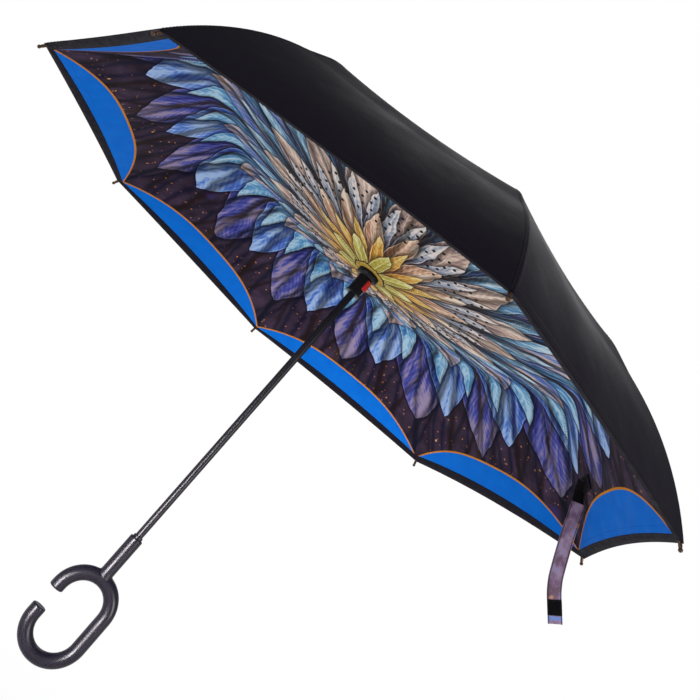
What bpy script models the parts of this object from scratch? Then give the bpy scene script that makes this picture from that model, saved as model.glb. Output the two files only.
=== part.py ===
"""Reverse umbrella: eight ribs hinged on the runner fold upwards past the shaft's top.

Metres, +Z up along the shaft. The origin is the middle of the C-shaped handle.
Rib 1 points along +X, the handle's mouth opens along -X.
"""
import math

import bmesh
import bpy
from mathutils import Matrix, Vector

# Counts and resolution
RIBS = 8
ROUND_STEPS = 24

# Clearances
CLEARANCE = 0.0003
SLIDE_CLEARANCE = 0.0003
CUT_OVERRUN = 0.002
MERGE = 0.00002

# Handle: a C-shaped loop below a straight neck
LOOP_RADIUS = 0.0365
LOOP_STRAIGHT = 0.045
LOOP_TUBE_RADIUS = 0.0098
LOOP_END_CHAMFER = 0.0012
UPPER_STUB = 0.0065
LOWER_STUB = 0.0115
NECK_RADIUS = 0.0093
NECK_TOP_Z = 0.124
NECK_CHAMFER = 0.0008
SOCKET_DEPTH = 0.052
RING_HEIGHT = 0.0045
RING_RADIUS = 0.0081

# Shaft: a thin steel tube
SHAFT_RADIUS = 0.00525
SHAFT_WALL = 0.0008

# Crown: fixed on the shaft's top, it carries the struts
HUB_SPACING = 0.124
CROWN_RADIUS = 0.0175
CROWN_ABOVE_PIVOT = 0.0065
CROWN_BELOW_PIVOT = 0.0045
CROWN_COLLAR_RADIUS = 0.0088
CROWN_COLLAR_HEIGHT = 0.009
CROWN_EDGE = 0.0008
RIVET_RADIUS = 0.0011

# Eyes at the inner ends of ribs and struts, and the wire rings that they turn on
PIVOT_CIRCLE = 0.0135
PIN_WIRE_RADIUS = 0.0007
EYE_RADIUS = 0.0028
RIB_EYE_HOLE_RADIUS = 0.0013
STRUT_EYE_HOLE_RADIUS = 0.0015
SLOT_CLEARANCE = 0.0004

# Ferrule: the cap that clamps the outer canopy on the crown
FERRULE_RADIUS = 0.0125
FERRULE_SKIRT = 0.003
FERRULE_NECK_RADIUS = 0.0062
FERRULE_FLAT_RADIUS = 0.0036
FERRULE_HEIGHT = 0.017
FERRULE_STEM_LENGTH = 0.010

# Runner: it slides on the shaft and carries the ribs
RUNNER_PIVOT_Z = 0.598
HEAD_RADIUS = 0.0165
HEAD_HALF = 0.0045
COLLAR_RADIUS = 0.0105
COLLAR_LENGTH = 0.036
COLLAR_WALL = 0.0014
SLEEVE_WALL = 0.0012
SLEEVE_LENGTH = 0.0072
CAVITY_DROP = 0.0145
FLANGE_RADIUS = 0.017
FLANGE_HEIGHT = 0.0088
FLANGE_LIP = 0.0018
FLANGE_BASE_RADIUS = 0.0128
END_CAP_LIP = 0.0024
END_CAP_PROUD = 0.001
END_CAP_SPIGOT = 0.003
END_CAP_WALL = 0.0010
STOP_RADIUS = 0.0072
STOP_HEIGHT = 0.006

# Release button, its latch plate and its spring
BUTTON_SHARE_OF_TURN = -1 / 8
BUTTON_WIDTH = 0.009
BUTTON_HEIGHT = 0.016
BUTTON_PROUD = 0.0018
BUTTON_THICKNESS = 0.0036
BUTTON_POCKET_DEPTH = 0.0016
BUTTON_EDGE = 0.0008
BUTTON_TRAVEL = 0.0012
POCKET_CLEARANCE = 0.0004
LATCH_THICKNESS = 0.0012
LATCH_RADIUS = 0.0075
LATCH_TAB_WIDTH = 0.005
SPRING_RADIUS = 0.0021
SPRING_WIRE_RADIUS = 0.00025
SPRING_TURNS = 3
SPRING_POINTS_PER_TURN = 10

# Ribs: a steel channel, then a springy rod that ends in a ball tip
RIB_TILT = math.radians(11)
RIB_LENGTH = 0.3275
CHANNEL_WIDTH = 0.005
CHANNEL_DEPTH = 0.005
CHANNEL_WALL = 0.0007
CHANNEL_RISE = 0.0006
CHANNEL_START = 0.0085
EYE_PLATE_THICKNESS = 0.002
EYE_PLATE_DEPTH = 0.0052
EYE_PLATE_LENGTH = 0.022
CHANNEL_PAST_KNUCKLE = 0.0024
KNUCKLE_PIN_RADIUS = 0.0009
KNUCKLE_EYE_RADIUS = 0.0019
KNUCKLE_HOLE_RADIUS = 0.00125
TONGUE_THICKNESS = 0.0024
TONGUE_LENGTH = 0.013
ROD_CHORD = 0.2439
ROD_DROP = math.radians(40.5)
ROD_TURN = math.radians(32)
ROD_RADIUS = 0.0015
ROD_START = 0.006
ROD_POINTS = 10
TIP_SLEEVE_RADIUS = 0.0019
TIP_SLEEVE_LENGTH = 0.012
TIP_BALL_RADIUS = 0.0023

# Struts: a flat bar beside each rib, from the crown to the rib's rivet
STRUT_REACH = 0.262
STRUT_SIDE_GAP = 0.0005
STRUT_THICKNESS = 0.002
STRUT_DEPTH = 0.0034
STRUT_RIVET_RADIUS = 0.0014
STRUT_RIVET_LENGTH = 0.001

# Canopies: two layers of cloth, with the ribs between them
CLOTH = 0.0008
CLOTH_ACROSS_STEPS = 4
CLOTH_STRAIGHT_STEPS = 4
CLOTH_ROD_STEPS = 6
SEAM_GAP = 0.0004
OUTER_KNEE_BACK = 0.012
OUTER_KNEE_RISE = 0.019
OUTER_OFF_ROD = 0.0034
INNER_OFF_ROD = 0.0034
INNER_OFF_RIB = 0.0058
KNEE_ROUND = 0.024
CORNER_SHORT = 0.007
OUTER_SCALLOP = 0.012
INNER_CORNER_SHORT = 0.013
INNER_SCALLOP = 0.024

# Strap: a ribbon with a fastening patch, sewn under rib 1
STRAP_WIDTH = 0.020
STRAP_THICKNESS = 0.0012
STRAP_ROOT_FROM_TIP = 0.097
STRAP_LENGTH = 0.176
STRAP_TOP_LEAN = math.radians(10)
STRAP_END_LEAN = math.radians(42)
STRAP_SEWN_LENGTH = 0.010
STRAP_LIFT_SHARE = 0.05
STRAP_TWIST_SHARE = 0.35
STRAP_STEPS = 14
ANCHOR_LENGTH = 0.036
ANCHOR_WIDTH = 0.026
ANCHOR_THICKNESS = 0.0016
ANCHOR_STAND_OFF = 0.0011
PATCH_LENGTH = 0.022
PATCH_FROM_END = 0.024
PATCH_THICKNESS = 0.0012

# Sizes that follow from those above
CHORD_SHARE = math.cos(math.pi / RIBS)
LOOP_TOP_Z = LOOP_STRAIGHT / 2
SHAFT_BOTTOM_Z = NECK_TOP_Z - SOCKET_DEPTH + CLEARANCE
BORE_RADIUS = SHAFT_RADIUS + SLIDE_CLEARANCE
CROWN_PIVOT_Z = RUNNER_PIVOT_Z + HUB_SPACING
CROWN_TOP_Z = CROWN_PIVOT_Z + CROWN_ABOVE_PIVOT
CROWN_BOTTOM_Z = CROWN_PIVOT_Z - CROWN_BELOW_PIVOT
HEAD_TOP_Z = RUNNER_PIVOT_Z + HEAD_HALF
HEAD_BOTTOM_Z = RUNNER_PIVOT_Z - HEAD_HALF
INNER_CLOTH_Z = HEAD_BOTTOM_Z - CLEARANCE - CLOTH / 2
FLANGE_TOP_Z = INNER_CLOTH_Z - CLOTH / 2 - CLEARANCE
FLANGE_BOTTOM_Z = FLANGE_TOP_Z - FLANGE_HEIGHT
COLLAR_BOTTOM_Z = HEAD_BOTTOM_Z - COLLAR_LENGTH
CAVITY_RADIUS = COLLAR_RADIUS - COLLAR_WALL
CAVITY_TOP_Z = HEAD_BOTTOM_Z - CAVITY_DROP
SLEEVE_RADIUS = BORE_RADIUS + SLEEVE_WALL
SLEEVE_BOTTOM_Z = CAVITY_TOP_Z - SLEEVE_LENGTH
OUTER_CLOTH_Z = CROWN_TOP_Z + CLEARANCE + CLOTH / 2
FERRULE_BOTTOM_Z = OUTER_CLOTH_Z + CLOTH / 2 + CLEARANCE
SHAFT_TOP_Z = FERRULE_BOTTOM_Z - CLEARANCE
KNUCKLE_R = PIVOT_CIRCLE + RIB_LENGTH * math.cos(RIB_TILT)
KNUCKLE_Z = RUNNER_PIVOT_Z + RIB_LENGTH * math.sin(RIB_TILT)
JOIN_R = PIVOT_CIRCLE + STRUT_REACH * math.cos(RIB_TILT)
JOIN_Z = RUNNER_PIVOT_Z + STRUT_REACH * math.sin(RIB_TILT)
STRUT_LANE = CHANNEL_WIDTH / 2 + STRUT_SIDE_GAP + STRUT_THICKNESS / 2
CROWN_RING_RADIUS = math.hypot(PIVOT_CIRCLE, STRUT_LANE)
STRUT_LENGTH = math.hypot(JOIN_R - PIVOT_CIRCLE, CROWN_PIVOT_Z - JOIN_Z)
STRUT_DROP = math.atan2(CROWN_PIVOT_Z - JOIN_Z, JOIN_R - PIVOT_CIRCLE)
BUTTON_TURN = BUTTON_SHARE_OF_TURN * 2 * math.pi
BUTTON_BOTTOM_Z = FLANGE_BOTTOM_Z - CLEARANCE - BUTTON_HEIGHT - BUTTON_EDGE
BUTTON_MID_Z = BUTTON_BOTTOM_Z + BUTTON_HEIGHT / 2


def clear_scene():
    for obj in list(bpy.data.objects):
        bpy.data.objects.remove(obj, do_unlink=True)


def collection(name):
    made = bpy.data.collections.new(name)
    bpy.context.scene.collection.children.link(made)
    return made


def material(name, colour, roughness, metallic=0.0):
    made = bpy.data.materials.new(name)
    made.use_nodes = True
    shader = made.node_tree.nodes["Principled BSDF"]
    shader.inputs["Base Color"].default_value = (*colour, 1.0)
    shader.inputs["Roughness"].default_value = roughness
    shader.inputs["Metallic"].default_value = metallic
    return made


clear_scene()
PARTS = collection("reverse_umbrella")
CUTTERS = collection("cutters")


def rib_turn(k):
    return 2 * math.pi * k / RIBS


def about_z(turn):
    return Matrix.Rotation(turn, 4, "Z")


def at(x, y, z):
    return Matrix.Translation((x, y, z))


def new_object(name, data, home, place=Matrix.Identity(4)):
    made = bpy.data.objects.new(name, data)
    made.matrix_world = place
    home.objects.link(made)
    return made


def part(name, data, paint, place=Matrix.Identity(4), smooth=True):
    """A named piece of the umbrella with its own material."""
    made = new_object(name, data, PARTS, place)
    made.data.materials.clear()
    made.data.materials.append(paint)
    if smooth and isinstance(made.data, bpy.types.Mesh):
        made.data.shade_smooth()
        made.data.set_sharp_from_angle(angle=math.radians(35))
    return made


def as_cutter(obj):
    obj.hide_render = True
    obj.display_type = "WIRE"
    return obj


def cutter(name, data, place=Matrix.Identity(4)):
    return as_cutter(new_object(name, data, CUTTERS, place))


def baked(obj):
    """The evaluated mesh of an object, with loose caps welded, in the object's own axes."""
    bpy.context.view_layer.update()
    ready = obj.evaluated_get(bpy.context.evaluated_depsgraph_get())
    made = bpy.data.meshes.new_from_object(ready)
    work = bmesh.new()
    work.from_mesh(made)
    bmesh.ops.remove_doubles(work, verts=work.verts, dist=MERGE)
    work.to_mesh(made)
    work.free()
    bpy.data.objects.remove(obj, do_unlink=True)
    return made


def boolean(obj, operation, other):
    change = obj.modifiers.new(operation.title(), "BOOLEAN")
    change.operation = operation
    change.object = other
    change.solver = "EXACT"
    return obj


def cut(obj, *others):
    for other in others:
        boolean(obj, "DIFFERENCE", other)
    return obj


def join(obj, *others):
    for other in others:
        boolean(obj, "UNION", as_cutter(other))
    return obj


def bevel(obj, width, segments=1, angle=math.radians(40)):
    change = obj.modifiers.new("Bevel", "BEVEL")
    change.width = width
    change.segments = segments
    change.limit_method = "ANGLE"
    change.angle_limit = angle
    return obj


def turned_mesh(name, profile, steps=ROUND_STEPS, closed=True):
    """A profile of (radius, height) points turned about Z: down the outer side, back up the bore."""
    work = bmesh.new()
    points = [work.verts.new((r, 0.0, z)) for r, z in profile]
    for a, b in zip(points, points[1:]):
        work.edges.new((a, b))
    if closed:
        work.edges.new((points[-1], points[0]))
    mesh = bpy.data.meshes.new(name)
    work.to_mesh(mesh)
    work.free()
    obj = new_object(name, mesh, CUTTERS)
    turn = obj.modifiers.new("Screw", "SCREW")
    turn.angle = math.radians(360)
    turn.axis = "Z"
    turn.steps = turn.render_steps = steps
    turn.use_merge_vertices = True
    turn.merge_threshold = MERGE
    return baked(obj)


def box_mesh(name, boxes):
    """Separate boxes in one mesh, each given as (size, matrix)."""
    work = bmesh.new()
    for size, place in boxes:
        scale = Matrix.Diagonal((*size, 1.0))
        bmesh.ops.create_cube(work, size=1.0, matrix=place @ scale)
    mesh = bpy.data.meshes.new(name)
    work.to_mesh(mesh)
    work.free()
    return mesh


def rod_mesh(name, radius, length, place, steps=12):
    """A cylinder with closed ends along the local Z of place."""
    work = bmesh.new()
    bmesh.ops.create_cone(work, cap_ends=True, segments=steps, radius1=radius, radius2=radius,
                          depth=length, matrix=place)
    mesh = bpy.data.meshes.new(name)
    work.to_mesh(mesh)
    work.free()
    return mesh


def ball_mesh(name, radius, place, steps=8):
    work = bmesh.new()
    bmesh.ops.create_uvsphere(work, u_segments=steps, v_segments=steps // 2 + 1, radius=radius,
                              matrix=place)
    mesh = bpy.data.meshes.new(name)
    work.to_mesh(mesh)
    work.free()
    return mesh


def outline_curve(name, outlines, thickness):
    """Flat outlines in XZ, the later ones holes, thickened along Y."""
    curve = bpy.data.curves.new(name, "CURVE")
    curve.dimensions = "2D"
    curve.fill_mode = "BOTH"
    curve.extrude = thickness / 2
    for points in outlines:
        spline = curve.splines.new("POLY")
        spline.points.add(len(points) - 1)
        spline.use_cyclic_u = True
        for spot, (x, z) in zip(spline.points, points):
            spot.co = (x, z, 0.0, 1.0)
    return new_object(name, curve, CUTTERS, Matrix.Rotation(math.radians(90), 4, "X"))


def outline_mesh(name, outlines, thickness, shift=(0, 0, 0)):
    obj = outline_curve(name, outlines, thickness)
    place = obj.matrix_world.copy()
    mesh = baked(obj)
    mesh.transform(Matrix.Translation(shift) @ place)
    return mesh


def tube_mesh(name, points, radius, resolution, cyclic=False):
    curve = bpy.data.curves.new(name, "CURVE")
    curve.dimensions = "3D"
    curve.bevel_depth = radius
    curve.bevel_resolution = resolution
    curve.use_fill_caps = not cyclic
    spline = curve.splines.new("POLY")
    spline.points.add(len(points) - 1)
    spline.use_cyclic_u = cyclic
    for spot, point in zip(spline.points, points):
        spot.co = (*point, 1.0)
    return baked(new_object(name, curve, CUTTERS))


def arc(centre, radius, start, end, steps):
    """Points on a circle in a plane, from angle start to angle end, both included."""
    turns = [start + (end - start) * i / steps for i in range(steps + 1)]
    return [(centre[0] + radius * math.cos(t), centre[1] + radius * math.sin(t)) for t in turns]


def bar_outline(length, eye, depth, steps=8):
    """A flat bar from the origin along +X with a round eye at its start and a round end."""
    neck = math.asin(min(1.0, depth / 2 / eye))
    start = arc((0, 0), eye, neck, 2 * math.pi - neck, 2 * steps - 4)
    end = arc((length, 0), depth / 2, -math.pi / 2, math.pi / 2, steps - 2)
    return start + end


def hole(x, radius, steps=8):
    return arc((x, 0), radius, 0, 2 * math.pi * (1 - 1 / steps), steps - 1)


# Handle
def loop_points():
    """The C-shaped loop's centre line in XZ, from its upper end to its lower end."""
    half = LOOP_STRAIGHT / 2
    steps = 16
    upper = arc((0, half), LOOP_RADIUS, math.pi, 0, steps)
    lower = arc((0, -half), LOOP_RADIUS, 0, -math.pi, steps)
    start = [(-LOOP_RADIUS, half - UPPER_STUB)]
    end = [(-LOOP_RADIUS, -half + LOWER_STUB)]
    return [(x, 0.0, z) for x, z in start + upper + lower + end]


def handle(paint):
    obj = part("handle", tube_mesh("handle_loop", loop_points(), LOOP_TUBE_RADIUS, 3), paint)
    bevel(obj, LOOP_END_CHAMFER, angle=math.radians(60))
    bottom = LOOP_TOP_Z + LOOP_RADIUS
    neck_profile = [(0.0, NECK_TOP_Z), (NECK_RADIUS - NECK_CHAMFER, NECK_TOP_Z),
                    (NECK_RADIUS, NECK_TOP_Z - NECK_CHAMFER), (NECK_RADIUS, bottom), (0.0, bottom)]
    neck = new_object("neck", turned_mesh("neck", neck_profile, closed=False), CUTTERS)
    socket_length = SOCKET_DEPTH + CUT_OVERRUN
    middle = NECK_TOP_Z - SOCKET_DEPTH + socket_length / 2
    socket = rod_mesh("socket", BORE_RADIUS, socket_length, at(0, 0, middle), ROUND_STEPS)
    join(obj, neck)
    cut(obj, cutter("socket", socket))


def handle_ring(paint):
    low = NECK_TOP_Z + CLEARANCE
    high = low + RING_HEIGHT
    edge = NECK_CHAMFER
    profile = [(RING_RADIUS - edge, high), (RING_RADIUS, high - edge), (RING_RADIUS, low),
               (BORE_RADIUS, low), (BORE_RADIUS, high)]
    part("handle_ring", turned_mesh("handle_ring", profile), paint)


# Shaft and crown
def shaft(paint):
    inside = SHAFT_RADIUS - SHAFT_WALL
    profile = [(SHAFT_RADIUS, SHAFT_TOP_Z), (SHAFT_RADIUS, SHAFT_BOTTOM_Z), (inside, SHAFT_BOTTOM_Z),
               (inside, SHAFT_TOP_Z)]
    obj = part("shaft", turned_mesh("shaft", profile), paint)
    cut(obj, rivet_hole("shaft_rivet_hole"))


def rivet_z():
    return CROWN_BOTTOM_Z - CROWN_COLLAR_HEIGHT / 2


def rivet_hole(name):
    turn = at(0, 0, rivet_z()) @ Matrix.Rotation(math.radians(90), 4, "X")
    radius = RIVET_RADIUS + CLEARANCE
    return cutter(name, rod_mesh(name, radius, 2 * CROWN_COLLAR_RADIUS + CUT_OVERRUN, turn))


def radial_slots(name, width, lane, low, high, outer):
    """One slot for each rib, beside its plane by lane and open at the rim."""
    inner = PIVOT_CIRCLE - EYE_RADIUS - SLOT_CLEARANCE
    length = outer + CUT_OVERRUN - inner
    size = (length, width, high - low)
    middle = at(inner + length / 2, lane, (low + high) / 2)
    boxes = [(size, about_z(rib_turn(k)) @ middle) for k in range(RIBS)]
    return cutter(name, box_mesh(name, boxes))


def pin_groove(name, pivot_z, ring_radius, outer):
    """A groove round the rim that the pin ring lies in."""
    half = PIN_WIRE_RADIUS + CLEARANCE
    inner = ring_radius - half
    profile = [(outer + CUT_OVERRUN, pivot_z + half), (outer + CUT_OVERRUN, pivot_z - half),
               (inner, pivot_z - half), (inner, pivot_z + half)]
    return cutter(name, turned_mesh(name, profile))


def pin_ring(name, pivot_z, ring_radius, paint):
    circle = arc((0, 0), ring_radius, 0, 2 * math.pi * (1 - 1 / ROUND_STEPS), ROUND_STEPS - 1)
    points = [(x, y, pivot_z) for x, y in circle]
    part(name, tube_mesh(name, points, PIN_WIRE_RADIUS, 1, cyclic=True), paint)


def crown(paint):
    edge = CROWN_EDGE
    collar_bottom = CROWN_BOTTOM_Z - CROWN_COLLAR_HEIGHT
    profile = [(CROWN_RADIUS - edge, CROWN_TOP_Z), (CROWN_RADIUS, CROWN_TOP_Z - edge),
               (CROWN_RADIUS, CROWN_BOTTOM_Z + edge), (CROWN_RADIUS - edge, CROWN_BOTTOM_Z),
               (CROWN_COLLAR_RADIUS, CROWN_BOTTOM_Z), (CROWN_COLLAR_RADIUS, collar_bottom),
               (BORE_RADIUS, collar_bottom), (BORE_RADIUS, CROWN_TOP_Z)]
    obj = part("crown", turned_mesh("crown", profile), paint)
    low = CROWN_BOTTOM_Z - CUT_OVERRUN
    high = CROWN_PIVOT_Z + EYE_RADIUS + SLOT_CLEARANCE
    width = STRUT_THICKNESS + 2 * SLOT_CLEARANCE
    cut(obj, radial_slots("strut_slots", width, STRUT_LANE, low, high, CROWN_RADIUS),
        pin_groove("crown_groove", CROWN_PIVOT_Z, CROWN_RING_RADIUS, CROWN_RADIUS),
        rivet_hole("crown_rivet_hole"))


def crown_rivet(paint):
    turn = at(0, 0, rivet_z()) @ Matrix.Rotation(math.radians(90), 4, "X")
    part("crown_rivet", rod_mesh("crown_rivet", RIVET_RADIUS, 2 * CROWN_COLLAR_RADIUS, turn), paint)


def ferrule(paint):
    low = FERRULE_BOTTOM_Z
    stem = SHAFT_RADIUS - SHAFT_WALL - CLEARANCE
    top = low + FERRULE_HEIGHT
    rim = FERRULE_NECK_RADIUS - FERRULE_FLAT_RADIUS
    flare = FERRULE_RADIUS - FERRULE_NECK_RADIUS
    cap = arc((FERRULE_FLAT_RADIUS, top - rim), rim, math.pi / 2, 0, 3)
    shoulder = arc((FERRULE_RADIUS, low + FERRULE_SKIRT + flare), flare, math.pi, 1.5 * math.pi, 4)
    stem_end = low - FERRULE_STEM_LENGTH
    profile = ([(0.0, top)] + cap + shoulder
               + [(FERRULE_RADIUS, low), (stem, low), (stem, stem_end), (0.0, stem_end)])
    part("ferrule", turned_mesh("ferrule", profile, closed=False), paint)


def upper_stop(paint):
    low = HEAD_TOP_Z + CLEARANCE
    high = low + STOP_HEIGHT
    profile = [(STOP_RADIUS, high), (STOP_RADIUS, low), (BORE_RADIUS, low), (BORE_RADIUS, high)]
    part("upper_stop", turned_mesh("upper_stop", profile), paint)


# Runner
def runner(paint):
    edge = CROWN_EDGE
    profile = [(HEAD_RADIUS - edge, HEAD_TOP_Z), (HEAD_RADIUS, HEAD_TOP_Z - edge),
               (HEAD_RADIUS, HEAD_BOTTOM_Z), (COLLAR_RADIUS, HEAD_BOTTOM_Z),
               (COLLAR_RADIUS, COLLAR_BOTTOM_Z), (CAVITY_RADIUS, COLLAR_BOTTOM_Z),
               (CAVITY_RADIUS, CAVITY_TOP_Z), (SLEEVE_RADIUS, CAVITY_TOP_Z),
               (SLEEVE_RADIUS, SLEEVE_BOTTOM_Z), (BORE_RADIUS, SLEEVE_BOTTOM_Z),
               (BORE_RADIUS, HEAD_TOP_Z)]
    obj = part("runner", turned_mesh("runner", profile), paint)
    low = RUNNER_PIVOT_Z - EYE_RADIUS - SLOT_CLEARANCE
    high = HEAD_TOP_Z + CUT_OVERRUN
    width = EYE_PLATE_THICKNESS + 2 * SLOT_CLEARANCE
    cut(obj, radial_slots("rib_slots", width, 0, low, high, HEAD_RADIUS),
        pin_groove("runner_groove", RUNNER_PIVOT_Z, PIVOT_CIRCLE, HEAD_RADIUS), button_window())


def button_window():
    inner = SLEEVE_RADIUS + CLEARANCE
    long = COLLAR_RADIUS + CUT_OVERRUN - inner
    size = (long, BUTTON_WIDTH + 2 * CLEARANCE, BUTTON_HEIGHT + 2 * CLEARANCE)
    place = about_z(BUTTON_TURN) @ at(inner + long / 2, 0, BUTTON_MID_Z)
    return cutter("button_window", box_mesh("button_window", [(size, place)]))


def runner_flange(paint):
    bore = COLLAR_RADIUS + CLEARANCE
    rise = FLANGE_RADIUS - FLANGE_BASE_RADIUS
    fall = FLANGE_HEIGHT - FLANGE_LIP
    side = [(FLANGE_BASE_RADIUS + rise * x, FLANGE_TOP_Z - FLANGE_LIP - fall * y)
            for x, y in arc((0, 0), 1, 0, math.pi / 2, 5)]
    profile = [(FLANGE_RADIUS, FLANGE_TOP_Z)] + side + [(bore, FLANGE_BOTTOM_Z), (bore, FLANGE_TOP_Z)]
    part("runner_flange", turned_mesh("runner_flange", profile), paint)


def runner_end_cap(paint):
    top = COLLAR_BOTTOM_Z - CLEARANCE
    low = top - END_CAP_LIP
    spigot = CAVITY_RADIUS - CLEARANCE
    inside = spigot - END_CAP_WALL
    outer = COLLAR_RADIUS + END_CAP_PROUD
    edge = CROWN_EDGE
    profile = [(spigot, top + END_CAP_SPIGOT), (spigot, top), (outer, top),
               (outer, low + edge), (outer - edge, low), (BORE_RADIUS, low),
               (BORE_RADIUS, top), (inside, top), (inside, top + END_CAP_SPIGOT)]
    part("runner_end_cap", turned_mesh("runner_end_cap", profile), paint)


# Release button
def button_place():
    """The middle of the button's outer face, with local X pointing out of the collar."""
    return about_z(BUTTON_TURN) @ at(COLLAR_RADIUS + BUTTON_PROUD, 0, BUTTON_MID_Z)


def spring_z():
    return CAVITY_TOP_Z - SLEEVE_LENGTH / 2


def release_button(paint):
    place = button_place()
    size = (BUTTON_THICKNESS, BUTTON_WIDTH, BUTTON_HEIGHT)
    obj = part("release_button", box_mesh("release_button", [(size, at(-BUTTON_THICKNESS / 2, 0, 0))]),
               paint, place)
    bevel(obj, BUTTON_EDGE, 2)
    depth = BUTTON_POCKET_DEPTH + CUT_OVERRUN
    middle = -BUTTON_THICKNESS + BUTTON_POCKET_DEPTH - depth / 2
    turn = at(middle, 0, spring_z() - BUTTON_MID_Z) @ Matrix.Rotation(math.radians(90), 4, "Y")
    radius = SPRING_RADIUS + SPRING_WIRE_RADIUS + POCKET_CLEARANCE
    cut(obj, cutter("spring_pocket", rod_mesh("spring_pocket", radius, depth, turn), place))


def latch_plate(paint):
    """A ring plate round the shaft that the button pushes across."""
    reach = COLLAR_RADIUS + BUTTON_PROUD - BUTTON_THICKNESS - CLEARANCE
    shift = BUTTON_TRAVEL / 2
    half = LATCH_TAB_WIDTH / 2
    turn = math.asin(half / LATCH_RADIUS)
    rim = arc((shift, 0), LATCH_RADIUS, turn, 2 * math.pi - turn, 20)
    outline = rim + [(reach, -half), (reach, half)]
    opening = arc((BUTTON_TRAVEL, 0), BORE_RADIUS, -math.pi / 2, math.pi / 2, 8)
    opening += arc((0, 0), BORE_RADIUS, math.pi / 2, 1.5 * math.pi, 8)
    mesh = outline_mesh("latch_plate", [outline, opening], LATCH_THICKNESS)
    level = SLEEVE_BOTTOM_Z - CLEARANCE - LATCH_THICKNESS / 2
    flat = Matrix.Rotation(math.radians(-90), 4, "X")
    mesh.transform(flat)
    part("latch_plate", mesh, paint, about_z(BUTTON_TURN) @ at(0, 0, level), smooth=False)


def button_spring(paint):
    """A compression coil along local X, from the runner's sleeve to the button's pocket."""
    low = SLEEVE_RADIUS + CLEARANCE + SPRING_WIRE_RADIUS
    high = (COLLAR_RADIUS + BUTTON_PROUD - BUTTON_THICKNESS + BUTTON_POCKET_DEPTH
            - CLEARANCE - SPRING_WIRE_RADIUS)
    count = SPRING_TURNS * SPRING_POINTS_PER_TURN
    points = []
    for i in range(count + 1):
        turn = 2 * math.pi * i / SPRING_POINTS_PER_TURN
        points.append((low + (high - low) * i / count, SPRING_RADIUS * math.cos(turn),
                       SPRING_RADIUS * math.sin(turn)))
    mesh = tube_mesh("button_spring", points, SPRING_WIRE_RADIUS, 1)
    part("button_spring", mesh, paint, about_z(BUTTON_TURN) @ at(0, 0, spring_z()))


# Ribs
def rib_mesh():
    """A channel open below, with an eye plate in its inner end and a cross pin at its outer end."""
    length = RIB_LENGTH + CHANNEL_PAST_KNUCKLE - CHANNEL_START
    middle = at(CHANNEL_START + length / 2, 0, CHANNEL_RISE)
    channel = new_object("channel", box_mesh("channel", [((length, CHANNEL_WIDTH, CHANNEL_DEPTH), middle)]),
                         CUTTERS)
    inside = (length + 2 * CUT_OVERRUN, CHANNEL_WIDTH - 2 * CHANNEL_WALL, CHANNEL_DEPTH)
    below = middle @ at(0, 0, -CHANNEL_WALL)
    inner = cutter("channel_inside", box_mesh("channel_inside", [(inside, below)]))
    outlines = [bar_outline(EYE_PLATE_LENGTH, EYE_RADIUS, EYE_PLATE_DEPTH), hole(0, RIB_EYE_HOLE_RADIUS)]
    plate = cutter("eye_plate", outline_mesh("eye_plate", outlines, EYE_PLATE_THICKNESS))
    turn = at(RIB_LENGTH, 0, 0) @ Matrix.Rotation(math.radians(90), 4, "X")
    pin = cutter("knuckle_pin", rod_mesh("knuckle_pin", KNUCKLE_PIN_RADIUS, CHANNEL_WIDTH, turn, 8))
    cut(channel, inner)
    join(channel, plate, pin)
    return baked_and_cleared(channel, inner, plate, pin)


def baked_and_cleared(obj, *helpers):
    mesh = baked(obj)
    for helper in helpers:
        bpy.data.objects.remove(helper, do_unlink=True)
    return mesh


def rod_arc(share, offset=0.0):
    """A point on the rod's arc in its own frame (chord along +X), moved out by offset."""
    radius = ROD_CHORD / 2 / math.sin(ROD_TURN / 2)
    turn = ROD_TURN * (0.5 - share)
    x = ROD_CHORD / 2 - (radius + offset) * math.sin(turn)
    z = (radius + offset) * math.cos(turn) - radius * math.cos(ROD_TURN / 2)
    return x, z


def rod_length():
    return ROD_CHORD / 2 / math.sin(ROD_TURN / 2) * ROD_TURN


def rod_piece_mesh():
    """A thin sprung rod with a flat tongue at the knuckle and a ball tip."""
    first = ROD_START / rod_length()
    shares = [first + (1 - first) * i / (ROD_POINTS - 1) for i in range(ROD_POINTS)]
    points = [(x, 0.0, z) for x, z in map(rod_arc, shares)]
    rod = new_object("rod", tube_mesh("rod", points, ROD_RADIUS, 1), CUTTERS)
    outlines = [bar_outline(TONGUE_LENGTH, KNUCKLE_EYE_RADIUS, 2 * ROD_RADIUS),
                hole(0, KNUCKLE_HOLE_RADIUS)]
    tongue_mesh = outline_mesh("tongue", outlines, TONGUE_THICKNESS)
    tongue_mesh.transform(Matrix.Rotation(-ROD_TURN / 2, 4, "Y"))
    tongue = cutter("tongue", tongue_mesh)
    end_share = 1 - TIP_SLEEVE_LENGTH / rod_length()
    start, end = rod_arc(end_share), rod_arc(1)
    slope = math.atan2(start[1] - end[1], end[0] - start[0])
    middle = at((start[0] + end[0]) / 2, 0, (start[1] + end[1]) / 2)
    along = middle @ Matrix.Rotation(math.radians(90) + slope, 4, "Y")
    sleeve = cutter("tip_sleeve", rod_mesh("tip_sleeve", TIP_SLEEVE_RADIUS, TIP_SLEEVE_LENGTH, along, 8))
    ball = cutter("tip_ball", ball_mesh("tip_ball", TIP_BALL_RADIUS, at(end[0], 0, end[1])))
    join(rod, tongue, sleeve, ball)
    return baked_and_cleared(rod, tongue, sleeve, ball)


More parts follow.
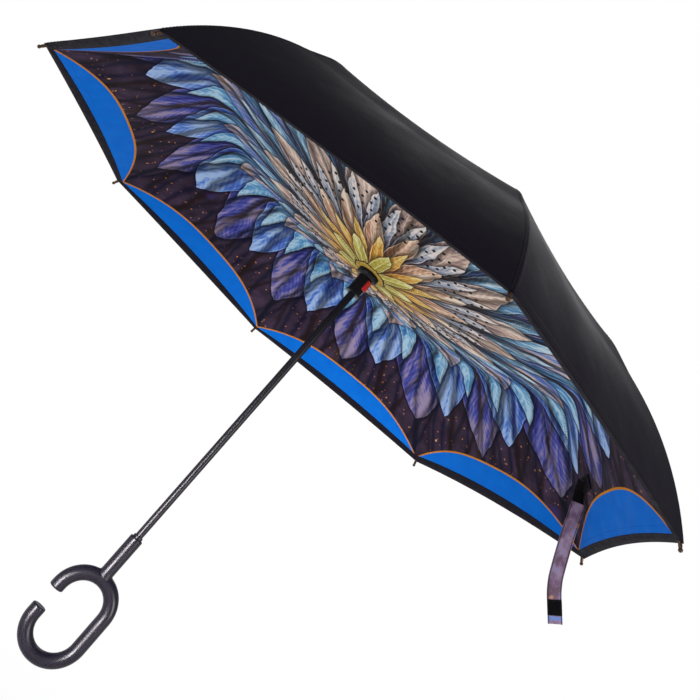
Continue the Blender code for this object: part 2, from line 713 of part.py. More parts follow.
def strut_mesh():
    """A flat bar with an eye at the crown and a rivet head at the rib."""
    outlines = [bar_outline(STRUT_LENGTH, EYE_RADIUS, STRUT_DEPTH), hole(0, STRUT_EYE_HOLE_RADIUS)]
    bar = new_object("strut_bar", outline_mesh("strut_bar", outlines, STRUT_THICKNESS), CUTTERS)
    long = STRUT_THICKNESS / 2 + STRUT_RIVET_LENGTH
    turn = at(STRUT_LENGTH, long / 2, 0) @ Matrix.Rotation(math.radians(90), 4, "X")
    rivet = cutter("strut_rivet", rod_mesh("strut_rivet", STRUT_RIVET_RADIUS, long, turn, 8))
    join(bar, rivet)
    return baked_and_cleared(bar, rivet)


def rib_place(k):
    return about_z(rib_turn(k)) @ at(PIVOT_CIRCLE, 0, RUNNER_PIVOT_Z)


def ribs(steel, fibre):
    rib, rod, strut = rib_mesh(), rod_piece_mesh(), strut_mesh()
    for k in range(RIBS):
        up = Matrix.Rotation(-RIB_TILT, 4, "Y")
        part(f"rib_{k + 1}", rib, steel, rib_place(k) @ up, smooth=False)
        knuckle = about_z(rib_turn(k)) @ at(KNUCKLE_R, 0, KNUCKLE_Z)
        part(f"rib_rod_{k + 1}", rod, fibre, knuckle @ Matrix.Rotation(ROD_DROP, 4, "Y"))
        pivot = about_z(rib_turn(k)) @ at(PIVOT_CIRCLE, STRUT_LANE, CROWN_PIVOT_Z)
        part(f"strut_{k + 1}", strut, steel, pivot @ Matrix.Rotation(STRUT_DROP, 4, "Y"), smooth=False)


# Canopies
def rod_point(share, offset):
    """A point beside the rod in the rib's plane, as (radius, height)."""
    x, z = rod_arc(share, offset)
    cos, sin = math.cos(ROD_DROP), math.sin(ROD_DROP)
    return KNUCKLE_R + x * cos + z * sin, KNUCKLE_Z - x * sin + z * cos


def rounded(before, corner, after, reach, steps=4):
    """Points of a smooth bend that replaces a corner."""
    b, c, a = Vector(before), Vector(corner), Vector(after)
    start = c + (b - c).normalized() * reach
    end = c + (a - c).normalized() * reach
    points = []
    for i in range(steps + 1):
        t = i / steps
        points.append(tuple(start * (1 - t) ** 2 + c * 2 * t * (1 - t) + end * t * t))
    return points


def cloth_profile(flat, knee, first, offset):
    """A canopy's line from its flat middle over the knee and along the rod, as (radius, height)."""
    share = first / rod_length()
    along = [rod_point(share + (1 - share) * i / CLOTH_ROD_STEPS, offset)
             for i in range(CLOTH_ROD_STEPS + 1)]
    bend = rounded(flat[-1], knee, along[0], KNEE_ROUND)
    start, end = Vector(flat[-1]), Vector(bend[0])
    straight = [tuple(start.lerp(end, i / CLOTH_STRAIGHT_STEPS)) for i in range(1, CLOTH_STRAIGHT_STEPS)]
    return flat + straight + bend + along


def outer_profile():
    """The outer canopy's line over a rib, from the crown to the tip."""
    knee = (KNUCKLE_R - OUTER_KNEE_BACK, KNUCKLE_Z + OUTER_KNEE_RISE)
    flat = [(SHAFT_RADIUS + CLOTH, OUTER_CLOTH_Z), (CROWN_RADIUS / CHORD_SHARE + CLOTH, OUTER_CLOTH_Z)]
    return cloth_profile(flat, knee, KNEE_ROUND + OUTER_KNEE_BACK, OUTER_OFF_ROD)


def inner_profile():
    """The inner canopy's line under a rib, from the runner to the tip."""
    flat = [(COLLAR_RADIUS + CLOTH, INNER_CLOTH_Z), (HEAD_RADIUS / CHORD_SHARE + CLOTH, INNER_CLOTH_Z)]
    knee = (KNUCKLE_R, KNUCKLE_Z - INNER_OFF_RIB)
    return cloth_profile(flat, knee, KNEE_ROUND + INNER_OFF_RIB, -INNER_OFF_ROD)


def line_point(profile, distance):
    """The point at a distance along a profile."""
    for a, b in zip(profile, profile[1:]):
        step = math.dist(a, b)
        if distance <= step or b == profile[-1]:
            share = distance / step
            return a[0] + (b[0] - a[0]) * share, a[1] + (b[1] - a[1]) * share
        distance -= step
    return profile[-1]


def line_length(profile):
    return sum(math.dist(a, b) for a, b in zip(profile, profile[1:]))


def gore_point(profile, distance, across):
    """A point of the gore from rib 1 (across -1) to rib 2 (across 1): straight from rib to rib."""
    radius, height = line_point(profile, distance)
    turn = math.pi / RIBS
    middle, half = radius * math.cos(turn), radius * math.sin(turn) - SEAM_GAP / 2
    return about_z(turn) @ Vector((middle, half * across, height))


def cut_stations(stations, cut_back):
    """Distances along the profile, with those over the rod drawn in so that the last is cut back."""
    first = stations[-CLOTH_ROD_STEPS - 1]
    reach = stations[-1] - first
    drawn = (reach - cut_back) / reach
    return [d if d <= first else first + (d - first) * drawn for d in stations]


def gore_mesh(name, profile, corner_short, scallop):
    """One gore, with its rim cut in a scallop, as a closed shell of cloth."""
    home = Vector((PIVOT_CIRCLE, 0, RUNNER_PIVOT_Z))
    stations = [line_length(profile[:i + 1]) for i in range(len(profile))]
    work = bmesh.new()
    grid = []
    for j in range(CLOTH_ACROSS_STEPS + 1):
        across = 2 * j / CLOTH_ACROSS_STEPS - 1
        cut_back = corner_short + scallop * (1 - across * across)
        row = [gore_point(profile, distance, across) - home
               for distance in cut_stations(stations, cut_back)]
        grid.append([work.verts.new(point) for point in row])
    for one, two in zip(grid, grid[1:]):
        for i in range(len(stations) - 1):
            work.faces.new((one[i], one[i + 1], two[i + 1], two[i]))
    mesh = bpy.data.meshes.new(name)
    work.to_mesh(mesh)
    work.free()
    obj = new_object(name, mesh, CUTTERS)
    shell = obj.modifiers.new("Solidify", "SOLIDIFY")
    shell.thickness = CLOTH
    shell.offset = 0
    return baked(obj)


def canopies(outer_paint, inner_paint):
    outer = gore_mesh("outer_gore", outer_profile(), CORNER_SHORT, OUTER_SCALLOP)
    inner = gore_mesh("inner_gore", inner_profile(), INNER_CORNER_SHORT, INNER_SCALLOP)
    for k in range(RIBS):
        part(f"outer_gore_{k + 1}", outer, outer_paint, rib_place(k))
        part(f"inner_gore_{k + 1}", inner, inner_paint, rib_place(k))


# Strap
def strap_root():
    """The anchor's middle on the inner canopy just beside rib 1, with X along the seam and Z inwards."""
    profile = inner_profile()
    distance = line_length(profile) - STRAP_ROOT_FROM_TIP
    back = about_z(-rib_turn(1))
    half_width = ANCHOR_WIDTH / 2 + SEAM_GAP
    gore_half = line_point(profile, distance)[0] * math.sin(math.pi / RIBS)
    across = 1 - (half_width + ANCHOR_THICKNESS) / gore_half
    half = ANCHOR_LENGTH / 2
    here = back @ gore_point(profile, distance, across)
    start = back @ gore_point(profile, distance - half, across)
    along = (back @ gore_point(profile, distance + half, across) - start).normalized()
    side = (back @ gore_point(profile, distance, 1) - here).normalized()
    inward = side.cross(along).normalized()
    if inward.z > 0:
        inward.negate()
    side = inward.cross(along)
    return here, along, side, inward


def strap_anchor(paint):
    here, along, side, inward = strap_root()
    off = CLOTH / 2 + ANCHOR_STAND_OFF + ANCHOR_THICKNESS / 2
    place = Matrix((along, side, inward)).transposed().to_4x4()
    place.translation = here + inward * off
    size = (ANCHOR_LENGTH, ANCHOR_WIDTH, ANCHOR_THICKNESS)
    part("strap_anchor", box_mesh("strap_anchor", [(size, Matrix.Identity(4))]), paint, place, smooth=False)


def strap_line():
    """The strap's centre points and width directions: sewn flat on its anchor, then hanging in XZ."""
    here, along, side, inward = strap_root()
    off = CLOTH / 2 + ANCHOR_STAND_OFF + ANCHOR_THICKNESS + CLEARANCE + STRAP_THICKNESS / 2
    point = here + inward * off + along * (ANCHOR_LENGTH / 2 - STRAP_SEWN_LENGTH)
    step = STRAP_LENGTH / STRAP_STEPS
    rows = []
    for i in range(STRAP_STEPS + 1):
        share = i / STRAP_STEPS
        lean = STRAP_TOP_LEAN + (STRAP_END_LEAN - STRAP_TOP_LEAN) * share
        fall = Vector((math.sin(lean), 0, -math.cos(lean)))
        twist = (share - STRAP_LIFT_SHARE) / (STRAP_TWIST_SHARE - STRAP_LIFT_SHARE)
        twist = min(1.0, max(0.0, twist))
        twist = twist * twist * (3 - 2 * twist)
        hanging = Vector((math.cos(lean), 0, math.sin(lean)))
        across = (side * (1 - twist) + hanging * twist).normalized()
        lift = min(1.0, share / STRAP_LIFT_SHARE)
        direction = (along * (1 - lift) + fall * lift).normalized()
        rows.append((point.copy(), across, direction))
        point += direction * step
    return rows


def strap(paint):
    work = bmesh.new()
    rows = []
    for point, across, direction in strap_line():
        half = across * STRAP_WIDTH / 2
        rows.append((work.verts.new(point - half), work.verts.new(point + half)))
    for one, two in zip(rows, rows[1:]):
        work.faces.new((one[0], one[1], two[1], two[0]))
    mesh = bpy.data.meshes.new("strap")
    work.to_mesh(mesh)
    work.free()
    obj = new_object("strap_ribbon", mesh, CUTTERS)
    shell = obj.modifiers.new("Solidify", "SOLIDIFY")
    shell.thickness = STRAP_THICKNESS
    shell.offset = 0
    part("strap", baked(obj), paint)


def strap_patch(paint):
    rows = strap_line()
    index = round(STRAP_STEPS * (1 - PATCH_FROM_END / STRAP_LENGTH))
    point, across, direction = rows[index]
    face = direction.cross(across).normalized()
    if face.y > 0:
        face.negate()
    place = Matrix((direction, across, direction.cross(across))).transposed().to_4x4()
    place.translation = point + face * (STRAP_THICKNESS / 2 + CLEARANCE + PATCH_THICKNESS / 2)
    size = (PATCH_LENGTH, STRAP_WIDTH, PATCH_THICKNESS)
    part("strap_patch", box_mesh("strap_patch", [(size, Matrix.Identity(4))]), paint, place, smooth=False)


def build():
    soft_plastic = material("soft_black_plastic", (0.018, 0.016, 0.020), 0.42)
    hard_plastic = material("hard_black_plastic", (0.015, 0.014, 0.017), 0.3)
    red_plastic = material("red_plastic", (0.60, 0.012, 0.006), 0.35)
    black_steel = material("black_coated_steel", (0.020, 0.019, 0.022), 0.28, 0.6)
    bright_steel = material("bright_steel", (0.62, 0.62, 0.64), 0.3, 1.0)
    fibre = material("black_fibreglass", (0.02, 0.02, 0.02), 0.35)
    black_cloth = material("black_cloth", (0.012, 0.010, 0.014), 0.8)
    print_cloth = material("printed_cloth", (0.10, 0.16, 0.42), 0.75)
    strap_cloth = material("strap_cloth", (0.16, 0.10, 0.22), 0.8)
    handle(soft_plastic)
    handle_ring(hard_plastic)
    shaft(black_steel)
    crown(hard_plastic)
    crown_rivet(bright_steel)
    pin_ring("crown_pin_ring", CROWN_PIVOT_Z, CROWN_RING_RADIUS, bright_steel)
    ferrule(hard_plastic)
    upper_stop(bright_steel)
    runner(hard_plastic)
    runner_flange(hard_plastic)
    runner_end_cap(hard_plastic)
    pin_ring("runner_pin_ring", RUNNER_PIVOT_Z, PIVOT_CIRCLE, bright_steel)
    release_button(red_plastic)
    latch_plate(bright_steel)
    button_spring(bright_steel)
    ribs(black_steel, fibre)
    canopies(black_cloth, print_cloth)
    strap_anchor(black_cloth)
    strap(strap_cloth)
    strap_patch(black_cloth)


build()
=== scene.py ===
"""The reverse umbrella dressed in its finishes: moulded handle and hubs, two sewn canopies, strap and studio.

Metres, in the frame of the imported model: +Z up the shaft, rib 1 along +X, the loop's mouth towards -X.
"""
import functools
import math
from types import SimpleNamespace as Layer

import bmesh
import bpy
import numpy as np
from mathutils import Matrix, Vector


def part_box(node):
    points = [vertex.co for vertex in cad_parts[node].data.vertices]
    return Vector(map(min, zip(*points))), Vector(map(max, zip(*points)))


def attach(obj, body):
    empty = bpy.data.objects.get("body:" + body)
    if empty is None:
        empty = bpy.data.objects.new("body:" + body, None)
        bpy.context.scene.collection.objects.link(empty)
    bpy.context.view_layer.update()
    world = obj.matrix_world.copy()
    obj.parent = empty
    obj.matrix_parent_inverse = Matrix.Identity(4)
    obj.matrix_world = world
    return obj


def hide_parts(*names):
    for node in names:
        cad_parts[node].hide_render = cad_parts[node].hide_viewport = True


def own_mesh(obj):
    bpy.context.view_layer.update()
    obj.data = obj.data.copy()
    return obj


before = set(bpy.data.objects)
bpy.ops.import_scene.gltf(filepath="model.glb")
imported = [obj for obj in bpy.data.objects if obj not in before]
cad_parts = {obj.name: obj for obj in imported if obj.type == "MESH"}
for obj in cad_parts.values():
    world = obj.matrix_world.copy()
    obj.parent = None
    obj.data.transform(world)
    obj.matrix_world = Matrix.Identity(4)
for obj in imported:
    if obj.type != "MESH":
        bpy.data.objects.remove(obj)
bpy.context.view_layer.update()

RIBS = 8
HALF_TURN = math.pi / RIBS

# Frame sizes that the cloth and the fittings follow
RUNNER_Z = 0.598
KNUCKLE = (0.33498, 0.66049)
ROD_CHORD, ROD_DROP, ROD_TURN = 0.2439, math.radians(40.5), math.radians(32)
ROD_RADIUS = ROD_CHORD / 2 / math.sin(ROD_TURN / 2)
SHAFT_RADIUS = 0.00525

# Cloth: the line over a rib from the hub over the knee to the rod, the rim's cut, and each gore's own cut
OUTER = Layer(hub=(0.0061, 0.7292), edge=(0.0197, 0.7292), knee=(0.32298, 0.67949), off=0.0034, first=0.036,
              corner=0.007, scallop=0.006, dip=0.006, slack=0.0,
              ends=(0,) * 8, gores=(0.0015, -0.0025, -0.005, -0.004, 0.006, 0, 0, 0.004))
INNER = Layer(hub=(0.0113, 0.5928), edge=(0.0187, 0.5928), knee=(0.33498, 0.65469), off=-0.0034, first=0.0298,
              corner=0.0165, scallop=0.010, dip=0.004, slack=0.012,
              ends=(0.002, 0.005, 0, 0, 0, 0, 0, 0), gores=(0.008, 0.003, 0, -0.002, 0.002, 0, 0, 0))
KNEE_ROUND = 0.024
CLOTH = 0.0005
WEAVE_PITCH = 0.0009
THREAD = 0.0003
SEAM_ROW = 0.0026
HEM_SAG = 0.0012
SMALL_STEP = 1e-4

# What the cloth would fold on to: pivots of strut 1, and the slope of rod 1's upright line when closed
CROWN_PIVOT, STRUT_END = Vector((0.0135, 0, 0.722)), Vector((0.27066, 0, 0.648))
RIVET_REACH = 0.2707
CLOSED_UPRIGHT = Vector((0.824, 0, -0.566))
BESIDE_RIB = (Vector((0, 1, 0)), Vector((0, 0, 0)))
RIM_KEEP = 0.09

# Strap: stations of its middle line from its root on the inner canopy, in the gore between ribs 1 and 8,
# down to its free end
STRAP_LINE = ((0.4030, -0.0790, 0.5715), (0.4165, -0.0620, 0.5655), (0.4300, -0.0495, 0.5558),
              (0.4350, -0.0470, 0.5455), (0.4396, -0.0465, 0.5329), (0.4476, -0.0460, 0.5107),
              (0.4581, -0.0450, 0.4862), (0.4674, -0.0440, 0.4662), (0.4751, -0.0432, 0.4511),
              (0.4857, -0.0424, 0.4366), (0.4992, -0.0416, 0.4227), (0.5168, -0.0405, 0.4050))
ALONG_CLOTH, FACING_OUT = Vector((-0.4234, -0.9058, 0.0156)), Vector((0.596, -0.532, 0.601))
TURNED_BY = (0.45, 0.75, 0.95, 1.0) + (1.0,) * 8
STRAP_WIDTH, STRAP_THICKNESS = 0.020, 0.0012
TAB_LENGTH, TAB_THICKNESS = 0.048, 0.0022
PATCH_LENGTH, PATCH_FROM_END, PATCH_THICKNESS = 0.022, 0.024, 0.0012
STRIPE_AT = 0.2095
# Half of the upper side of the ribbon, with its woven edge, and of the tab, as (across, height)
RIBBON_HALF = [(-0.0100, 0.0003), (-0.0097, 0.00058), (-0.0089, 0.0006), (-0.0085, 0.00045),
               (-0.0081, 0.00056), (-0.0040, 0.0005), (0.0, 0.0005)]
TAB_HALF = [(-0.0104, 0.0005), (-0.0101, TAB_THICKNESS / 2), (0.0, TAB_THICKNESS / 2)]
# The pad on the cloth: its middle and half length along the seam (m), and its reach across the gore (share)
PAD_AT, PAD_HALF, PAD_ACROSS = 0.4690, 0.0115, (-0.62, -0.38)

# The photograph's view: focal length, width and the optical axis from the middle in pixels, and the place
FOCAL_LENGTH, PICTURE, AXIS = 891.44, 700, (45, -50)
CAMERA_AT = Vector((-0.2244, -1.1735, 0.2376))
CAMERA_AHEAD, CAMERA_DOWN = Vector((0.14899, 0.96463, 0.21748)), Vector((0.68252, 0.05883, -0.7285))


# Plain mesh helpers

def to_rib(k):
    return Matrix.Rotation(2 * HALF_TURN * k, 4, "Z")


def dress(piece, finish, smooth=None):
    """Gives the piece its finish; smooth is the angle in degrees past which an edge stays sharp."""
    piece.data.materials.clear()
    piece.data.materials.append(finish)
    if smooth is not None:
        piece.data.shade_smooth()
        piece.data.set_sharp_from_angle(angle=math.radians(smooth))
    return piece


def new_piece(name, mesh, finish=None, smooth=None):
    piece = bpy.data.objects.new(name, mesh)
    bpy.context.scene.collection.objects.link(piece)
    return piece if finish is None else dress(piece, finish, smooth)


def settle(piece):
    """Applies the live modifiers, so that the piece is a plain mesh."""
    bpy.context.view_layer.update()
    ready = piece.evaluated_get(bpy.context.evaluated_depsgraph_get())
    mesh = bpy.data.meshes.new_from_object(ready)
    piece.modifiers.clear()
    piece.data = mesh
    return piece


def mesh_from(name, work):
    mesh = bpy.data.meshes.new(name)
    work.to_mesh(mesh)
    work.free()
    return mesh


def plain_mesh(name, points, edges=(), faces=()):
    mesh = bpy.data.meshes.new(name)
    mesh.from_pydata([tuple(p) for p in points], list(edges), list(faces))
    return mesh


def grid_faces(rows, columns):
    """The four corners of every face of a grid of points."""
    at = np.arange(rows * columns).reshape(rows, columns)
    return np.stack([at[:-1, :-1], at[1:, :-1], at[1:, 1:], at[:-1, 1:]], axis=-1).reshape(-1, 4)


def walled(name, grid, thickness, place, finish, smooth):
    """A grid of points as a closed sheet of even thickness."""
    grid = np.array(grid)
    mesh = plain_mesh(name, grid.reshape(-1, 3), (), grid_faces(*grid.shape[:2]).tolist())
    mesh.transform(place)
    piece = new_piece(name, mesh)
    wall = piece.modifiers.new("Wall", "SOLIDIFY")
    wall.thickness, wall.offset = thickness, 0
    return dress(settle(piece), finish, smooth)


def arc(x, z, wide, tall, first, last, count):
    """Points of an elliptic arc round (x, z)."""
    return [(x + wide * math.cos(a), z + tall * math.sin(a)) for a in np.linspace(first, last, count)]


def add_maps(mesh, **maps):
    """UV maps from two values at every vertex. Gives the vertex at every face corner."""
    corners = np.empty(len(mesh.loops), np.int32)
    mesh.loops.foreach_get("vertex_index", corners)
    for label, values in maps.items():
        mesh.uv_layers.new(name=label).data.foreach_set("uv", np.array(values, np.float32)[corners].ravel())
    return corners


def skinned(name, rings, ring=False):
    """A skin over rings of points, joined up into a ring or else closed at both ends."""
    rings = np.array(rings)
    at = np.arange(rings.shape[0] * rings.shape[1]).reshape(rings.shape[:2])
    one, two = (at, np.roll(at, -1, axis=0)) if ring else (at[:-1], at[1:])
    faces = np.stack([one, two, np.roll(two, -1, axis=1), np.roll(one, -1, axis=1)], axis=-1).reshape(-1, 4)
    work = bmesh.new()
    spots = [work.verts.new(p) for p in rings.reshape(-1, 3)]
    for face in [*faces, *(() if ring else (at[0], at[-1]))]:
        work.faces.new([spots[c] for c in face])
    bmesh.ops.remove_doubles(work, verts=work.verts, dist=1e-7)
    bmesh.ops.recalc_face_normals(work, faces=work.faces)
    return mesh_from(name, work)


def turned(name, profile, steps=64, ring=False):
    """A body of revolution from (radius, height) points, listed from the top down the outer side."""
    turns = 2 * math.pi * np.arange(steps) / steps
    return skinned(name, [[(r * math.cos(a), r * math.sin(a), z) for a in turns] for r, z in profile], ring)


def swept(name, points, radii, sides=32):
    """A round bar through the points, with a radius at each, closed at both ends."""
    points = [Vector(p) for p in points]
    last = len(points) - 1
    tangents = [(points[min(i + 1, last)] - points[max(i - 1, 0)]).normalized() for i in range(last + 1)]
    side = tangents[0].orthogonal().normalized()
    rings = []
    for point, tangent, radius in zip(points, tangents, radii):
        side = (side - tangent * side.dot(tangent)).normalized()
        other = tangent.cross(side)
        rings.append([point + (side * math.cos(a) + other * math.sin(a)) * radius
                      for a in 2 * math.pi * np.arange(sides) / sides])
    return skinned(name, rings)


def rounded_bar(name, size, place, bevel, segments=3):
    """A box with rounded edges."""
    work = bmesh.new()
    bmesh.ops.create_cube(work, size=1.0, matrix=Matrix.Diagonal((*size, 1.0)))
    bmesh.ops.bevel(work, geom=work.edges[:], offset=bevel, segments=segments, profile=0.5, affect="EDGES")
    bmesh.ops.transform(work, matrix=place, verts=work.verts)
    return mesh_from(name, work)


# Finishes

class Nodes:
    """Builds a node tree; the kinds of its nodes are named without the common beginning."""
    beginning = "ShaderNode"

    def __init__(self, tree):
        self.tree = tree

    def node(self, kind, inputs=(), **settings):
        made = self.tree.nodes.new(kind if "Node" in kind else self.beginning + kind)
        for key, value in settings.items():
            setattr(made, key, value)
        for key, value in dict(inputs).items():
            self.feed(made.inputs[key], value)
        return made

    def made(self, kind, inputs=(), output=0, **settings):
        return self.node(kind, inputs, **settings).outputs[output]

    def feed(self, socket, value):
        if isinstance(value, bpy.types.NodeSocket):
            self.tree.links.new(value, socket)
        else:
            socket.default_value = value

    def math(self, operation, a, b=0.0, c=0.0, clamp=False):
        return self.made("ShaderNodeMath", {0: a, 1: b, 2: c}, operation=operation, use_clamp=clamp)

    def add(self, a, b):
        return self.math("ADD", a, b)

    def less(self, a, b):
        return self.math("SUBTRACT", a, b)

    def times(self, a, b, plus=0.0):
        return self.math("MULTIPLY_ADD", a, b, plus)


class Finish(Nodes):
    """Builds one material: each method adds a node and returns its output."""

    def __init__(self, name):
        self.material = bpy.data.materials.new(name)
        self.material.use_nodes = True
        super().__init__(self.material.node_tree)

    def smooth(self, value, low, high, to_low=0.0, to_high=1.0):
        """A soft step from to_low at low to to_high at high."""
        given = {"Value": value, "From Min": low, "From Max": high, "To Min": to_low, "To Max": to_high}
        return self.made("MapRange", given, interpolation_type="SMOOTHSTEP")

    def fall(self, value, low, high, top=1.0):
        """A soft step from top at low down to 0 at high."""
        return self.smooth(value, low, high, top, 0.0)

    def mix(self, share, a, b, blend="MIX"):
        a, b = (v if isinstance(v, bpy.types.NodeSocket) else (*v, 1.0) for v in (a, b))
        return self.made("Mix", {0: share, 6: a, 7: b}, 2, data_type="RGBA", blend_type=blend,
                         clamp_factor=True)

    def darker(self, share, tone):
        return self.mix(share, tone, (0.0, 0.0, 0.0), "MULTIPLY")

    def ramp(self, share, *stops):
        """Colours along a ramp: stops are (position, colour)."""
        made = self.node("ValToRGB", {0: share})
        marks = made.color_ramp.elements
        while len(marks) < len(stops):
            marks.new(0.5)
        for mark, (position, colour) in zip(marks, stops):
            mark.position = position
            mark.color = (*colour, 1.0)
        return made.outputs[0]

    def place(self):
        return self.made("TexCoord", (), "Object")

    def maps(self):
        """The place on the flat cloth, and the distance from the rim with the share across the gore."""
        return [self.made("UVMap", uv_map=name) for name in ("Flat", "Edge")]

    def split(self, vector):
        return self.node("SeparateXYZ", {0: vector}).outputs[:3]

    def polar(self, vector):
        """Distance from the shaft and angle about it."""
        x, y, _ = self.split(vector)
        return self.math("POWER", self.add(self.times(x, x), self.times(y, y)), 0.5), self.math("ARCTAN2", y, x)

    def scaled(self, vector, x, y, z):
        return self.made("Mapping", {"Vector": vector, "Scale": (x, y, z)})

    def vector_math(self, operation, inputs, output=0):
        return self.made("VectorMath", inputs, output, operation=operation)

    def noise(self, vector, scale, detail=2.0, rough=0.5, output=0):
        given = {"Vector": vector, "Scale": scale, "Detail": detail, "Roughness": rough}
        return self.made("TexNoise", given, output)

    def cells(self, vector, scale):
        """Distance from the nearest cell's middle, and random values of that cell."""
        made = self.node("TexVoronoi", {"Vector": vector, "Scale": scale, "Randomness": 1.0}, feature="F1")
        return made.outputs["Distance"], self.split(made.outputs["Color"])

    def flecks(self, vector, scale, size, pick, strength=1.0):
        """Round spots, size being their inner and outer radius, in the cells picked by chance."""
        distance, chance = self.cells(vector, scale)
        return self.times(self.fall(distance, *size, strength), self.smooth(chance[0], *pick))

    def surface(self, tone, rough, *bumps, specular=0.5, **values):
        """The material with its colour and roughness, its (height, strength, depth) bumps one on top of the
        other, and any further inputs."""
        given = {"Base Color": tone, "Roughness": rough, "Specular IOR Level": specular,
                 **{key.replace("_", " ").title(): value for key, value in values.items()}}
        for height, strength, depth in bumps:
            bump = {"Height": height, "Strength": strength, "Distance": depth}
            if "Normal" in given:
                bump["Normal"] = given["Normal"]
            given["Normal"] = self.made("Bump", bump)
        for key, value in given.items():
            self.feed(self.tree.nodes["Principled BSDF"].inputs[key], value)
        return self.material


def plain(name, tones, cloud, gloss, rough, *bumps, mould_line=False, **values):
    """A material of two tones, with uneven gloss and bumps. Each follows a noise, given as its scale and
    detail with any stretch along x, y and z, or cells, given as their scale alone."""
    f = Finish(name)
    spot = f.place()

    @functools.cache
    def pattern(scale, detail=None, *stretch):
        if detail is None:
            return f.cells(spot, scale)[0]
        return f.noise(f.scaled(spot, *stretch) if stretch else spot, scale, detail)

    layers = [(pattern(*wave), strength, depth) for wave, strength, depth in bumps]
    if mould_line:
        layers.append((f.fall(f.math("ABSOLUTE", f.split(spot)[1]), 0.0001, 0.00035), 0.5, 0.00015))
    return f.surface(f.mix(pattern(*cloud), *tones), f.smooth(pattern(*gloss), 0.3, 0.7, *rough), *layers,
                     **values)


def woven(f, flat, edge, folds, seam, pucker, relief):
    """The height of the plain weave, and bumps: slow folds, the felled seam over each rib with the turned hem
    along the rim, the groove along each row of thread, puckers beside it and the weave."""
    x, y, _ = f.split(flat)
    warp, weft = (f.math("SINE", f.times(axis, 2 * math.pi / WEAVE_PITCH)) for axis in (x, y))
    reach, turn = f.polar(flat)
    beside = f.times(reach, f.math("SINE", f.math("PINGPONG", turn, HALF_TURN)))
    raised = f.math("MAXIMUM", f.fall(beside, 0.0034, 0.0042), f.fall(f.split(edge)[0], 0.0085, 0.0095))
    groove = f.fall(f.math("ABSOLUTE", f.less(beside, SEAM_ROW)), 0.0002, 0.0007)
    threads = f.times(f.times(warp, weft), 0.5, 0.5)
    scale, depth = pucker
    puckered = f.times(f.noise(flat, scale, 3), raised)
    return threads, [(f.noise(flat, folds, 3), 0.35, 0.004), (raised, *seam), (groove, -0.5, 0.0003),
                     (puckered, 0.3, depth), (threads, relief, 0.00012)]


def outer_cloth():
    f = Finish("black close woven polyester")
    flat, edge = f.maps()
    threads, bumps = woven(f, flat, edge, 14, (0.6, 0.0005), (90, 0.0006), 0.3)
    cloudy = f.noise(flat, 9, 4)
    tone = f.darker(f.times(threads, 0.25), f.mix(cloudy, (0.0066, 0.0054, 0.0090), (0.0112, 0.0094, 0.0150)))
    return f.surface(tone, f.smooth(cloudy, 0.3, 0.7, 0.62, 0.76), *bumps, specular=0.03)


def petal_ring(f, reach, turn, count, shift, twist, inner, outer, fullness, point):
    """One ring of pointed petals: how far inside a petal's outline (m), its share along, its share across,
    and the distance (m) from its midrib."""
    half = math.pi / count
    local = f.math("PINGPONG", f.times(reach, twist, f.add(turn, shift + 4 * math.pi)), half)
    across = f.math("DIVIDE", local, half)
    along = f.math("DIVIDE", f.less(reach, inner), outer - inner, clamp=True)
    width = f.math("POWER", f.less(1.0, f.math("POWER", along, fullness)), point)
    return f.times(f.less(width, across), f.times(reach, half)), along, across, f.times(local, reach)


# Rings of petals from the border to the hub: count, shift, twist, inner, outer, fullness, point,
# then the paint from the deepest tone to the brightest
PETALS = (
    ((16, 0.10, 0.5, 0.250, 0.492, 2.6, 0.9),
     (0.010, 0.008, 0.045), (0.030, 0.026, 0.17), (0.085, 0.10, 0.42), (0.36, 0.28, 0.42)),
    ((16, 0.30, 0.4, 0.220, 0.455, 3.0, 1.0),
     (0.008, 0.012, 0.080), (0.040, 0.070, 0.37), (0.11, 0.24, 0.68), (0.42, 0.58, 0.86)),
    ((32, 0.00, 0.5, 0.200, 0.405, 2.6, 1.0),
     (0.009, 0.018, 0.070), (0.045, 0.13, 0.40), (0.12, 0.36, 0.62), (0.50, 0.72, 0.86)),
    ((16, 0.20, -0.4, 0.170, 0.360, 2.8, 1.1),
     (0.012, 0.012, 0.060), (0.060, 0.085, 0.36), (0.20, 0.33, 0.66), (0.86, 0.62, 0.50)),
    ((32, 0.05, 0.6, 0.140, 0.305, 2.4, 1.0),
     (0.010, 0.022, 0.055), (0.055, 0.15, 0.30), (0.20, 0.42, 0.60), (0.66, 0.82, 0.90)),
    ((16, 0.12, 0.6, 0.110, 0.255, 2.6, 1.1),
     (0.030, 0.020, 0.030), (0.22, 0.16, 0.17), (0.62, 0.42, 0.33), (0.95, 0.78, 0.66)),
    ((32, 0.02, -0.5, 0.080, 0.205, 2.4, 1.0),
     (0.020, 0.022, 0.045), (0.12, 0.16, 0.26), (0.40, 0.44, 0.52), (0.92, 0.80, 0.72)),
    ((16, 0.16, -0.6, 0.050, 0.165, 2.5, 1.1),
     (0.040, 0.016, 0.012), (0.30, 0.13, 0.07), (0.72, 0.42, 0.27), (0.96, 0.80, 0.64)),
    ((16, 0.35, 0.4, 0.020, 0.118, 2.2, 1.1),
     (0.060, 0.018, 0.006), (0.52, 0.15, 0.015), (0.72, 0.40, 0.06), (0.93, 0.72, 0.30)),
    ((8, 0.12, 0.4, 0.010, 0.082, 2.0, 1.0),
     (0.11, 0.060, 0.010), (0.42, 0.32, 0.035), (0.62, 0.54, 0.12), (0.90, 0.84, 0.45)),
)


